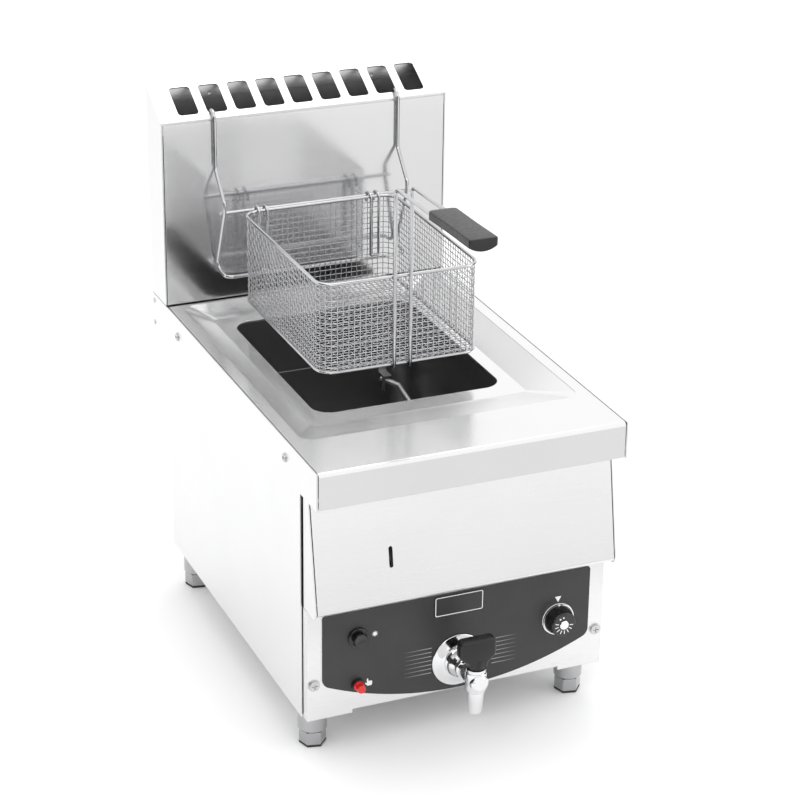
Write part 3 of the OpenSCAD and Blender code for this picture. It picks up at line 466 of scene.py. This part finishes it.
def woven_walls(low, high, corner, pitch, wire_r):
    """The four mesh walls: upright wires and level rings that pass over and under each other."""
    weave = wire_r * 0.95
    at, total = perimeter((high.x - low.x) / 2 - 2 * wire_r, (high.y - low.y) / 2 - 2 * wire_r,
                          corner, (low.y + high.y) / 2)
    uprights = 2 * round(total / pitch / 2)
    rows = round((high.z - low.z) / pitch)
    step = (high.z - low.z) / rows
    shape = Build()
    for i in range(uprights):
        point, normal = at(total * i / uprights)
        path = []
        for j in range(2 * rows + 1):
            wave = math.cos(math.pi * (j / 2 + i)) * weave
            path.append(point + normal * wave + Vector((0, 0, low.z + step * j / 2)))
        shape.add(*sweep(path, wire_r, 5, ends=False))
    for j in range(1, rows):
        path = []
        for k in range(2 * uprights):
            point, normal = at(total * k / 2 / uprights)
            wave = -math.cos(math.pi * (k / 2 + j)) * weave
            path.append(point + normal * wave + Vector((0, 0, low.z + step * j)))
        shape.add(*sweep(path, wire_r, 5, closed=True))
    return shape


def woven_floor(low, high, corner, pitch, wire_r):
    """The basket's mesh floor, its wire ends turned up inside the walls."""
    weave = wire_r * 0.95
    half = Vector(((high.x - low.x) / 2 - 4 * wire_r, (high.y - low.y) / 2 - 4 * wire_r))
    middle = Vector(((low.x + high.x) / 2, (low.y + high.y) / 2))
    level = low.z + 2.4 * wire_r
    counts = [2 * round(half[i] / pitch) for i in (0, 1)]
    steps = [2 * half[i] / counts[i] for i in (0, 1)]
    shape = Build()
    for across in (0, 1):
        other = 1 - across
        for i in range(1, counts[across]):
            place = -half[across] + steps[across] * i
            over = max(0.0, abs(place) - half[across] + corner)
            reach = half[other] - corner + math.sqrt(max(0.0, corner ** 2 - over ** 2))
            path = []
            span = counts[other]
            for j in range(2 * span + 1):
                along = -half[other] + steps[other] * j / 2
                if abs(along) > reach:
                    continue
                wave = math.cos(math.pi * (j / 2 + i)) * weave * (1 if across else -1)
                p = [0.0, 0.0]
                p[across] = middle[across] + place
                p[other] = middle[other] + along
                path.append(Vector((*p, level + wave)))
            if len(path) < 4:
                continue
            for end, inner in ((0, 1), (-1, -2)):
                outward = (path[end] - path[inner]).normalized()
                tip = path[end] + outward * pitch * 0.2 + Vector((0, 0, pitch * 0.6))
                path.insert(0, tip) if end == 0 else path.append(tip)
            shape.add(*sweep(path, wire_r, 5, ends=False))
    return shape


GRIP_RISE = math.radians(1.7)
MESH_PITCH = 6.0 * MM
MESH_WIRE = 0.5 * MM
basket_lo, basket_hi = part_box("basket_mesh")
frame_lo, frame_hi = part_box("basket_frame")
basket_corner = 17.0 * MM
rim_r = 1.75 * MM
wire_r = 2.0 * MM
hook_r = 1.5 * MM

walls = woven_walls(basket_lo, basket_hi, basket_corner, MESH_PITCH, MESH_WIRE)
walls_piece = walls.piece("basket_wire_walls", WIRE, "basket", 80)
floor_mesh = woven_floor(basket_lo, basket_hi, basket_corner, MESH_PITCH, MESH_WIRE)
floor_mesh.piece("basket_wire_floor", WIRE, "basket", 80)
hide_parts("basket_mesh")


def ring(lo, hi, corner, z, r):
    """A closed loop of wire on a rounded rectangle, level at height z."""
    at, total = perimeter((hi.x - lo.x) / 2, (hi.y - lo.y) / 2, corner, (lo.y + hi.y) / 2)
    steps = 120
    path = [at(total * i / steps)[0] + Vector((0, 0, z)) for i in range(steps)]
    return sweep(path, r, 12, closed=True)


def basket_frame():
    """The rim and foot rings, the two posts with their arms, and the two pairs of rear hooks."""
    half = Vector((0.5 * MM, 0.5 * MM, 0))
    shape = Build()
    shape.add(*ring(basket_lo + half, basket_hi - half, basket_corner, basket_hi.z, rim_r))
    shape.add(*ring(basket_lo + half, basket_hi - half, basket_corner, basket_lo.z + 1.4 * MM, 1.6 * MM))
    post_y = basket_lo.y - 2.6 * MM
    post_x = 8.5 * MM
    arm_front = frame_lo.y + 1 * MM
    arm_end_z = frame_hi.z - wire_r
    post_top = arm_end_z - (post_y - arm_front) * math.tan(GRIP_RISE)
    for s in (-1, 1):
        path = rounded_path([(s * post_x, post_y, basket_lo.z - 0.6 * MM), (s * post_x, post_y, post_top),
                             (s * post_x, arm_front, arm_end_z)], 6 * MM)
        shape.add(*sweep(path, wire_r, 14))
        # rear hooks: two legs and a bridge, hung over the hanger's rod
        inner_y = basket_hi.y - 3.6 * MM
        crown_z = basket_hi.z + rim_r + hook_r + 0.15 * MM
        outer_y = frame_hi.y - hook_r
        for side in (-1, 1):
            x = s * 63 * MM + side * 4.5 * MM
            leg = rounded_path([(x, inner_y, basket_lo.z + 29 * MM), (x, inner_y, crown_z),
                                (x, outer_y, crown_z), (x, outer_y, crown_z - 11 * MM)], 4.5 * MM)
            shape.add(*sweep(leg, hook_r, 12))
        bridge_z = basket_lo.z + 29 * MM
        shape.add(*sweep([(s * 63 * MM - 4.5 * MM, inner_y, bridge_z),
                          (s * 63 * MM + 4.5 * MM, inner_y, bridge_z)], hook_r, 12))
    return shape


frame_piece = basket_frame().piece("basket_rim_and_posts", WIRE, "basket", 60)
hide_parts("basket_frame")


def hanger():
    """The wire hanger: a side wire over each outer slot, the lower bar, and the rod for the hooks."""
    lo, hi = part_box("basket_hanger")
    side_x = hi.x - 4 * MM
    arc_r = 7.6 * MM
    arc_z = hi.z - arc_r - wire_r
    back_y = hi.y - wire_r - 2 * arc_r
    rod_y = basket_hi.y + 6 * MM
    rod_z = basket_hi.z + rim_r - 0.15 * MM - wire_r
    bar_y = basket_hi.y + 3.2 * MM
    bar_z = lo.z + wire_r * 1.05
    drop = 97 * MM
    shape = Build()
    for s in (-1, 1):
        over = [(s * side_x, back_y + arc_r - arc_r * math.cos(a), arc_z + arc_r * math.sin(a))
                for a in (math.pi * k / 12 for k in range(12, -1, -1))]
        lower = rounded_path([over[-1], (s * side_x, back_y, bar_z + drop + 15 * MM),
                              (s * side_x, rod_y - 2.5 * MM, rod_z + 11 * MM),
                              (s * side_x, rod_y - 2 * MM, rod_z - 2 * MM),
                              (s * side_x, back_y + 0.2 * MM, bar_z + 2 * MM),
                              (s * (side_x - 1 * MM), bar_y + 4 * MM, bar_z),
                              (s * (side_x - 7 * MM), bar_y, bar_z), (0, bar_y, bar_z)], 9 * MM)
        tip = [(s * side_x, back_y + 2 * arc_r, arc_z - 13 * MM)]
        shape.add(*sweep([Vector(p) for p in tip + over[:-1]] + lower, wire_r, 14))
    shape.add(*sweep([(lo.x, rod_y, rod_z), (hi.x, rod_y, rod_z)], wire_r, 14, ends=False))
    # weld beads where the rod crosses the side wires
    for s in (-1, 1):
        for k in (-1, 1):
            bead = [(s * side_x + k * 1.6 * MM, rod_y - 1.4 * MM, rod_z + 1.2 * MM),
                    (s * side_x + k * 1.6 * MM, rod_y - 1.4 * MM, rod_z - 1.2 * MM)]
            shape.add(*sweep(bead, 0.9 * MM, 8))
    return shape


hanger_piece = hanger().piece("wire_hanger", WIRE, "hanger", 60)
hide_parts("basket_hanger")


def bottom_screen():
    """The grate that lies in the tank, and the loop that it is lifted out by."""
    lo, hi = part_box("bottom_grid")
    z = lo.z + wire_r
    inner_lo = Vector((lo.x + wire_r, lo.y + wire_r, 0))
    inner_hi = Vector((hi.x - wire_r, hi.y - wire_r, 0))
    rung_r = 1.3 * MM
    pitch = 20 * MM
    shape = Build()
    shape.add(*ring(inner_lo, inner_hi, 16 * MM, z, wire_r))
    for count, axis, level in ((7, 0, 0.6 * MM), (11, 1, -0.6 * MM)):
        middle = (inner_lo[axis] + inner_hi[axis]) / 2
        for i in range(count):
            a = [0, 0, z + level]
            b = [0, 0, z + level]
            a[axis] = b[axis] = middle + (i - (count - 1) / 2) * pitch
            a[1 - axis] = inner_lo[1 - axis]
            b[1 - axis] = inner_hi[1 - axis]
            shape.add(*sweep([a, b], rung_r, 8))
    lo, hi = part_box("grid_handle")
    left, right = lo.x + wire_r, hi.x - wire_r
    y = lo.y + wire_r
    rise = 14 * MM
    loop = [(left + rise, y + rise, z), (left, y, z + rise), (left, y, hi.z - wire_r),
            (right, y, hi.z - wire_r), (right, y, z + rise), (right - 9 * MM, y + rise, z)]
    shape.add(*sweep(rounded_path(loop, 9 * MM), wire_r, 14))
    return shape


screen_piece = bottom_screen().piece("bottom_screen_wires", WIRE, "bottom_screen", 60)
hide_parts("bottom_grid", "grid_handle")


# ------------------------------------------------------------------ grip and tap

def grip_section(half, thick, edge, side=8 * MM, steps=6):
    """Outline of the grip across its length: (u, v) with v = 0 on its flat top."""
    deep = thick - side
    belly_r = (half ** 2 + deep ** 2) / (2 * deep)
    sweep_a = math.degrees(math.asin(half / belly_r))
    outline = arc(half - edge, -edge, edge, 90, 0, steps)
    outline += arc(0, belly_r - thick, belly_r, -90 + sweep_a, -90 - sweep_a, 4 * steps)
    outline += arc(-half + edge, -edge, edge, 180, 90, steps)
    return outline


def grip():
    """The grip as a loft of its section, square at the front and rounded at the rear."""
    lo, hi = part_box("handle_grip")
    length = hi.y - lo.y
    half = (hi.x - lo.x) / 2
    thick = hi.z - lo.z - length * math.sin(GRIP_RISE)
    front_r = 2.6 * MM
    rear_r = 6.5 * MM
    waist_depth = 0.5 * MM
    top_edge = 1.5 * MM
    # how much of an end's rounding the belly and the flat top take part in
    belly_share = 0.45
    top_share = 0.16
    # (how far the sides draw in, distance from the front end)
    stations = [(front_r * (1 - math.sin(a)), front_r * (1 - math.cos(a)))
                for a in (math.pi / 2 * k / 6 for k in range(7))]
    stations += [(0.0, length * t) for t in (0.2, 0.4, 0.6, 0.8)]
    stations += [(rear_r * (1 - math.cos(a)), length - rear_r + rear_r * math.sin(a))
                 for a in (math.pi / 2 * k / 8 for k in range(9))]
    shape = Build()
    verts = []
    for pull, along in stations:
        # a shallow waist where the fingers close round it
        waist = waist_depth * math.sin(math.pi * along / length) ** 2
        narrow = half - pull - waist
        outline = grip_section(narrow, thick - belly_share * pull - waist, top_edge)
        top = hi.z - along * math.sin(GRIP_RISE) - top_share * pull
        verts += [Vector((u, lo.y + along, top + v)) for u, v in outline]
    n = len(outline)
    faces = [tuple(range(n)), tuple((len(stations) - 1) * n + i for i in range(n))[::-1]]
    for j in range(len(stations) - 1):
        for i in range(n):
            m = (i + 1) % n
            faces.append((j * n + m, j * n + i, (j + 1) * n + i, (j + 1) * n + m))
    shape.add(verts, faces)
    return shape.verts, shape.faces


grip_piece = make("basket_grip", *grip(), GRIP, "basket", 50)
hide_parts("handle_grip")


def shoulder(radius, along, pull, rise, steps=5):
    """Profile points of a quarter round that starts at radius and draws in by pull."""
    return [(radius - pull + pull * math.cos(a), along + rise * math.sin(a))
            for a in (math.pi / 2 * k / steps for k in range(1, steps + 1))]


def tap():
    """The tap's turned parts: the body as a Build, and the rosette as verts and faces."""
    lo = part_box("tap_body")[0]
    rose_lo, rose_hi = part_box("tap_rosette")
    axis_z = (rose_lo.z + rose_hi.z) / 2
    plug_lo, plug_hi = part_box("tap_plug")
    tap_y = (plug_lo.y + plug_hi.y) / 2
    rose_r = (rose_hi.z - rose_lo.z) / 2
    seat = rose_hi.y
    disc = [(0.0, 0.0), (rose_r - 0.3 * MM, 0.0), (rose_r, 0.4 * MM), (rose_r, 1.2 * MM)]
    disc += shoulder(rose_r, 1.2 * MM, 1.2 * MM, 1.0 * MM)
    disc += [(rose_r - 5 * MM, 2.9 * MM), (20 * MM, 4.0 * MM), (17 * MM, 4.9 * MM), (0.0, 5.0 * MM)]
    rosette = lathe(disc, (0, seat, axis_z), (0, -1, 0), 96)
    reach = rose_lo.y - lo.y
    barrel = [(0.0, -0.1 * MM), (16.0 * MM, -0.1 * MM), (16.3 * MM, 0.5 * MM), (16.3 * MM, 2.2 * MM),
              (15.7 * MM, 2.8 * MM), (15.2 * MM, 3.6 * MM), (15.4 * MM, 4.6 * MM), (14.6 * MM, 6.4 * MM),
              (13.2 * MM, 9.0 * MM), (11.6 * MM, 11.6 * MM), (10.7 * MM, 13.6 * MM), (10.4 * MM, 15.0 * MM),
              (10.9 * MM, 15.4 * MM), (10.9 * MM, 16.8 * MM), (10.3 * MM, 17.2 * MM), (9.3 * MM, 18.2 * MM),
              (9.2 * MM, reach - 2.4 * MM)]
    barrel += shoulder(9.2 * MM, reach - 2.4 * MM, 1.2 * MM, 1.6 * MM)
    barrel += [(7.4 * MM, reach - 0.5 * MM), (6.9 * MM, reach - 0.1 * MM), (0.0, reach)]
    body = Build()
    body.add(*lathe(barrel, (0, rose_lo.y, axis_z), (0, -1, 0), 96))
    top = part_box("tap_bonnet")[0].z - axis_z
    depth = axis_z - lo.z
    column = [(0.0, top - 0.3 * MM), (9.6 * MM, top - 0.3 * MM), (10.4 * MM, top - 1.0 * MM),
              (10.6 * MM, top - 2.0 * MM), (10.6 * MM, -9.5 * MM), (10.1 * MM, -10.8 * MM),
              (9.0 * MM, -11.6 * MM), (8.6 * MM, -12.2 * MM), (8.7 * MM, -13.2 * MM)]
    column += [(8.7 * MM - 2.0 * MM * t, -13.2 * MM - (depth - 14.6 * MM) * t) for t in (0.33, 0.66, 1.0)]
    column += [(6.3 * MM, -depth + 0.5 * MM), (5.6 * MM, -depth), (4.7 * MM, -depth)]
    column += [(4.5 * MM, -depth + 0.4 * MM), (4.5 * MM, -depth + 12 * MM), (0.0, -depth + 12 * MM)]
    body.add(*lathe(column[::-1], (0, tap_y, axis_z), (0, 0, 1), 96))
    return body, rosette


tap_shape, rosette_shape = tap()
tap_piece = tap_shape.piece("tap_casting", CHROME, "casing", 30)
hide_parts("tap_body")
rosette_piece = make("tap_rose", *rosette_shape, CHROME, "casing", 30)
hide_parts("tap_rosette")


def wing_handle():
    """The tap's wing: a crowned plate that widens upwards from a round neck."""
    lo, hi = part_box("tap_handle")
    half = (hi.x - lo.x) / 2
    neck = 8.8 * MM
    tap_y = (lo.y + hi.y) / 2
    thick = hi.y - lo.y - 1.4 * MM
    wing_z = lo.z + 12.5 * MM
    right = [(neck, lo.z + 1.0 * MM), (neck + 1.5 * MM, lo.z + 7 * MM), (half, wing_z + 1 * MM), (half, hi.z)]
    left = [(-u, v) for u, v in right[::-1]]
    bends = [1 * MM, 5 * MM, 6 * MM, 4.5 * MM]
    # the outline starts at the left foot of the neck and runs anticlockwise
    outline = rounded_outline([left[-1]] + right + left[:-1], [bends[0]] + bends + bends[:0:-1], 6)

    def place(u, v, w):
        # the wings are slimmer in plan towards their tips and pinched a little at the top
        slim = 1.0 - 0.22 * (abs(u) / half) ** 2
        rise = 1.0 - 0.10 * max(0.0, (v - wing_z) / (hi.z - wing_z))
        return Vector((u, tap_y - w * slim * rise, v))

    shape = Build()
    shape.add(*pillow(outline, thick, 3.2 * MM, place, 6))
    hub = [(0.0, 0.0), (neck - 0.4 * MM, 0.0), (neck, 0.4 * MM), (neck, 7 * MM)]
    hub += [(8.0 * MM, 9 * MM), (0.0, 9 * MM)]
    shape.add(*lathe(hub, (0, tap_y, lo.z), (0, 0, 1), 48))
    return shape


handle_piece = wing_handle().piece("tap_wing_handle", GRIP, "tap_lever", 40)
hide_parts("tap_handle")


# ------------------------------------------------------------------ controls

panel_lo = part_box("control_overlay")[0]


def on_panel(u, v, height):
    """A point on the overlay's face: u to the right, v up, height outwards."""
    return Vector((u, panel_lo.y - height, v))


def centre_xz(node):
    lo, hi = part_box(node)
    return (lo.x + hi.x) / 2, (lo.z + hi.z) / 2


def knob():
    """The gas knob's tapered skirt and flat cap."""
    x, z = centre_xz("control_knob")
    lo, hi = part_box("control_knob")
    height = hi.y - lo.y
    base_r = (hi.x - lo.x) / 2
    cap_r = 11.8 * MM
    side = [(0.0, 0.0), (base_r - 0.5 * MM, 0.0), (base_r, 0.5 * MM)]
    top_r = cap_r + 1.2 * MM
    side += [(base_r + (top_r - base_r) * t, 0.5 * MM + (height - 2.0 * MM) * t) for t in (0.3, 0.6, 1.0)]
    side += shoulder(top_r, height - 1.5 * MM, 1.2 * MM, 1.5 * MM)
    side += [(0.0, height)]
    return lathe(side, (x, hi.y, z), (0, -1, 0), 96)


knob_piece = make("gas_knob_body", *knob(), BLACK, "gas_knob", 30)
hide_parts("control_knob")

red_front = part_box("reset_button")[0].y
red_x, red_z = centre_xz("reset_button")
red_rear = panel_lo.y - 1 * MM
red_length = red_rear - red_front
red_profile = [(0.0, 0.0), (5.3 * MM, 0.0), (5.3 * MM, 3.2 * MM), (5.0 * MM, 3.9 * MM), (4.5 * MM, 4.4 * MM),
               (4.35 * MM, 5.2 * MM), (4.3 * MM, red_length - 1.0 * MM)]
red_profile += shoulder(4.3 * MM, red_length - 1.0 * MM, 1.0 * MM, 1.0 * MM)
red_profile += [(0.0, red_length)]
red_piece = make("reset_button_cap", *lathe(red_profile, (red_x, red_rear, red_z), (0, -1, 0), 64),
                 RED, "reset", 35)
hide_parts("reset_button")


# ------------------------------------------------------------------ printed marks

def star(x, z, outer, inner, points=8):
    """A star's outline, whose corners lie on the outer and the inner radius by turns."""
    outline = []
    for k in range(2 * points):
        r = inner if k % 2 else outer
        a = math.pi * k / points
        outline.append((x + r * math.cos(a), z + r * math.sin(a)))
    return outline


def dot(x, z, r, steps):
    """A round dot's outline."""
    angles = [2 * math.pi * k / steps for k in range(steps)]
    return [(x + r * math.cos(a), z + r * math.sin(a)) for a in angles]


def capsule(a, b, r, steps=6):
    """A rounded bar between two points, as an outline."""
    heading = math.atan2(b[1] - a[1], b[0] - a[0])
    ends = [(b, heading - math.pi / 2), (a, heading + math.pi / 2)]
    outline = []
    for p, start in ends:
        for k in range(steps + 1):
            a = start + math.pi * k / steps
            outline.append((p[0] + r * math.cos(a), p[1] + r * math.sin(a)))
    return outline


igniter_x, igniter_z = centre_xz("igniter_body")
knob_x, knob_z = centre_xz("knob_bezel")
marks = Build()
marks.add(*decal(star(igniter_x + 17.7 * MM, igniter_z, 3.6 * MM, 1.5 * MM), on_panel))
# a hand: its palm, four fingers and the thumb
hand_x = red_x + 12 * MM
hand_z = red_z - 0.2 * MM
palm = [(hand_x + u * MM, hand_z + v * MM) for u, v in ((-2.3, -3.4), (2.6, -3.4), (3.2, 0.4), (-2.5, 0.4))]
marks.add(*decal(rounded_outline(palm, 0.9 * MM), on_panel))
for dx, top in ((-1.7, 3.9), (-0.2, 1.3), (1.2, 1.1), (2.4, 0.8)):
    finger = capsule((hand_x + dx * MM, hand_z - 0.6 * MM), (hand_x + dx * MM, hand_z + top * MM), 0.72 * MM)
    marks.add(*decal(finger, on_panel, 0.07 * MM))
thumb = capsule((hand_x - 2.2 * MM, hand_z - 1.9 * MM), (hand_x - 4.0 * MM, hand_z - 0.1 * MM), 0.65 * MM)
marks.add(*decal(thumb, on_panel, 0.08 * MM))
pointer_z = knob_z + 21.5 * MM
marks.add(*decal([(knob_x, pointer_z - 3.3 * MM), (knob_x + 3.4 * MM, pointer_z + 2.9 * MM),
                  (knob_x - 3.4 * MM, pointer_z + 2.9 * MM)], on_panel))
marks.piece("panel_marks", INK, "casing")


def fading_ink(name, centre_x, reach):
    """Ink whose lines fade into the panel's grey away from the tap, by place on the panel."""
    s = Shader(name)
    texture = s.node("ShaderNodeTexCoord")
    split = s.node("ShaderNodeSeparateXYZ")
    s.join(texture.outputs["Object"], split.inputs["Vector"])
    distance = s.node("ShaderNodeMapRange")
    distance.inputs["From Min"].default_value = centre_x
    distance.inputs["From Max"].default_value = centre_x + reach
    s.join(split.outputs["X"], distance.inputs["Value"])
    s.tint(distance.outputs["Result"], (0.42, 0.42, 0.42), (0.052, 0.052, 0.052))
    s.roughness(s.noise(1500.0), 0.4, 0.5)
    return s.mat


rose_lo, rose_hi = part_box("tap_rosette")
tap_z = (rose_lo.z + rose_hi.z) / 2
line_r = 0.32 * MM
line_pitch = 4.6
# side of the tap, its sign in X, where the lines start and end, and the top line's height over the tap's axis
for name, side, near, far, top in (("left", -1, 28.6, 57, 18), ("right", 1, 37, 63, 15)):
    lines = Build()
    left_end, right_end = sorted((side * near * MM, side * far * MM))
    for k in range(7):
        z = tap_z + (top - line_pitch * k) * MM
        lines.add(*decal(capsule((left_end, z), (right_end, z), line_r), on_panel))
    fade = fading_ink(f"line_ink_{name}", side * near * MM, side * (far - near) * MM)
    lines.piece(f"panel_lines_{name}", fade, "casing")


def frame_outline(name, node, margin, width, material):
    """A thin raised border round a plate, so that a blank badge still reads as one."""
    lo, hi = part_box(node)
    corners = [(lo.x + margin, lo.z + margin), (hi.x - margin, lo.z + margin),
               (hi.x - margin, hi.z - margin), (lo.x + margin, hi.z - margin)]
    outer = rounded_outline(corners, 1.8 * MM)
    inner = inset(outer, width)
    n = len(outer)
    front = lo.y
    verts = []
    for lift in (0.0, 0.1 * MM):
        verts += [(u, front - lift, v) for u, v in outer] + [(u, front - lift, v) for u, v in inner]
    faces = []
    for i in range(n):
        m = (i + 1) % n
        faces += [(2 * n + i, 2 * n + m, 3 * n + m, 3 * n + i), (i, n + i, n + m, m),
                  (i, m, 2 * n + m, 2 * n + i), (n + m, n + i, 3 * n + i, 3 * n + m)]
    make(name, verts, faces, material, "casing")


frame_outline("badge_border", "badge_plate", 0.7 * MM, 0.8 * MM, INK)


def knob_face():
    """Ticks and two dots round the knob's cap, the bright disc in its middle, and the bezel's dot."""
    cap_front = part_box("knob_cap")[0].y + 0.5 * MM
    x, z = centre_xz("knob_cap")

    def on_cap(u, v, height):
        return Vector((x + u, cap_front - height, z + v))

    ink = Build()
    tick_inner = 6.4 * MM
    tick_outer = 9.6 * MM
    for k in range(8):
        a = math.radians(165 + 27 * k)
        ends = [(r * math.cos(a), r * math.sin(a)) for r in (tick_inner, tick_outer)]
        ink.add(*decal(capsule(*ends, 0.42 * MM), on_cap))
    dot_ring = 8.2 * MM
    for angle in (122, 96):
        a = math.radians(angle)
        ink.add(*decal(dot(dot_ring * math.cos(a), dot_ring * math.sin(a), 0.9 * MM, 16), on_cap))
    ink.piece("knob_marks", INK, "gas_knob")
    disc = [(0.0, 0.0), (4.8 * MM, 0.0), (4.8 * MM, 0.5 * MM), (4.5 * MM, 0.8 * MM), (0.0, 0.95 * MM)]
    make("knob_disc", *lathe(disc, (x, cap_front, z), (0, -1, 0), 48), CHROME, "gas_knob")
    lo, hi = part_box("knob_bezel")
    bezel_dot = dot(0.0, (hi.z - lo.z) / 2 - 1.1 * MM, 1.2 * MM, 20)
    body = decal(bezel_dot, lambda u, v, height: Vector((x + u, lo.y - height, z + v)), 0.15 * MM)
    make("bezel_dot", *body, INK, "casing")


knob_face()


# ------------------------------------------------------------------ painted shade under the feet

def foot_shade_disc(corner):
    """The dark disc under one foot, painted shade at the foot's base: a six-sided disc turned with the foot's
    own hexagon.
    """
    lo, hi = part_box("foot_" + corner)
    turn = math.radians(-13)
    radius = (hi.x - lo.x) / 2 / math.cos(turn)
    middle = ((lo.x + hi.x) / 2, (lo.y + hi.y) / 2)
    thick = 2.6 * MM
    proud = 0.35 * MM
    verts = []
    # three levels: the bevelled sole, the top of the bevel, and the top of the pad
    for z, pull in ((0.0, 0.9 * MM), (0.5 * MM, 0.4 * MM), (thick, 0.0)):
        r = radius + proud - pull
        for k in range(6):
            a = turn + k * math.pi / 3
            verts.append(Vector((middle[0] + r * math.cos(a), middle[1] + r * math.sin(a), lo.z + z)))
    faces = [tuple(range(6))[::-1], tuple(range(12, 18))]
    for level in (0, 6):
        for k in range(6):
            m = (k + 1) % 6
            faces.append((level + k, level + m, level + 6 + m, level + 6 + k))
    # the disc is black to paint the shade at the foot's base
    make("foot_shade_disc_" + corner, verts, faces, FOOT_SHADE_BLACK, corner + "_foot", 30)


for corner in ("front_left", "front_right", "rear_left", "rear_right"):
    foot_shade_disc(corner)


# ------------------------------------------------------------------ floor, camera and light

def pale_floor():
    """A wide matt floor at the height that the machine stands on."""
    s = Shader("pale_floor", Roughness=0.9)
    s.tint(s.ramp(s.noise(3.0), 0.0, 1.0), (0.95, 0.95, 0.95), (0.955, 0.955, 0.955))
    size = 12.0
    ground = cad_box[0][2]
    mesh = bpy.data.meshes.new("floor")
    corners = [(x * size, y * size, ground) for x, y in ((-1, -1), (1, -1), (1, 1), (-1, 1))]
    mesh.from_pydata(corners, [], [(0, 1, 2, 3)])
    mesh.materials.append(s.mat)
    floor = bpy.data.objects.new("floor", mesh)
    bpy.context.scene.collection.objects.link(floor)


def look_camera():
    """A long lens from the front left and above, with a slight roll."""
    azimuth = math.radians(-23.11)
    elevation = math.radians(23.98)
    roll = math.radians(0.70)
    distance = 2.542
    middle = (Vector(cad_box[0]) + Vector(cad_box[1])) / 2
    target = middle + Vector((0.0218, 0.0, -0.0041))
    back = Vector((math.sin(azimuth) * math.cos(elevation), -math.cos(azimuth) * math.cos(elevation),
                   math.sin(elevation)))
    right = Vector((math.cos(azimuth), math.sin(azimuth), 0))
    up = back.cross(right)
    image_right = right * math.cos(roll) + up * math.sin(roll)
    image_up = up * math.cos(roll) - right * math.sin(roll)
    data = bpy.data.cameras.new("camera")
    data.sensor_width = 36.0
    data.lens = 111.67
    camera = bpy.data.objects.new("camera", data)
    pose = Matrix((image_right, image_up, back)).transposed().to_4x4()
    pose.translation = target + back * distance
    camera.matrix_world = pose
    bpy.context.scene.collection.objects.link(camera)
    bpy.context.scene.camera = camera


def softbox(name, place, aim, size, power):
    """A white rectangular area light at place that faces aim."""
    data = bpy.data.lights.new(name, "AREA")
    data.shape = "RECTANGLE"
    data.size, data.size_y = size
    data.energy = power
    lamp = bpy.data.objects.new(name, data)
    lamp.location = place
    lamp.rotation_euler = (Vector(aim) - Vector(place)).to_track_quat("-Z", "Y").to_euler()
    bpy.context.scene.collection.objects.link(lamp)


def studio_flag(name, verts, tone):
    """A card made of a strip of quads, which only reflections see: it gives bright metal darker lines."""
    s = Shader(name, Roughness=0.9)
    s.tint(s.ramp(s.noise(2.0), 0.0, 1.0), (tone, tone, tone), (tone * 1.1, tone * 1.1, tone * 1.1))
    mesh = bpy.data.meshes.new(name)
    quads = [(k, k + 1, k + 3, k + 2) for k in range(0, len(verts) - 2, 2)]
    mesh.from_pydata(verts, [], quads)
    mesh.materials.append(s.mat)
    card = bpy.data.objects.new(name, mesh)
    card.visible_camera = False
    card.visible_shadow = False
    card.visible_diffuse = False
    bpy.context.scene.collection.objects.link(card)


FLAG_FOOT = 0.02


def curved_flag(name, radius, start, end, height, tone):
    """A flag that stands on the floor round the object, between two bearings from the front."""
    verts = []
    for k in range(9):
        a = math.radians(start + (end - start) * k / 8)
        foot = (radius * math.sin(a), -radius * math.cos(a))
        verts += [(*foot, FLAG_FOOT), (*foot, height)]
    studio_flag(name, verts, tone)


def studio():
    """An even white surround, three softboxes, two dark flags at the sides and a grey one on the floor."""
    world = bpy.data.worlds.new("studio")
    bpy.context.scene.world = world
    world.use_nodes = True
    backdrop = world.node_tree.nodes["Background"]
    backdrop.inputs["Color"].default_value = (1, 1, 1, 1)
    backdrop.inputs["Strength"].default_value = 1.16
    middle = (0, 0, 0.3)
    softbox("key", (-1.6, -1.8, 2.2), middle, (1.4, 1.4), 12)
    softbox("fill", (2.2, -1.2, 1.4), middle, (1.2, 1.6), 8)
    softbox("top", (0.2, 0.6, 2.6), middle, (1.6, 1.2), 10)
    curved_flag("left_flag", 1.1, -95, -30, 1.1, 0.012)
    curved_flag("right_flag", 1.3, 75, 105, 0.9, 0.02)
    flat = [(x, y, 0.004) for x in (-0.2, 1.3) for y in (-1.5, -0.45)]
    studio_flag("floor_flag", flat, 0.62)
    bpy.context.scene.view_settings.view_transform = "Standard"


pale_floor()
look_camera()
studio()
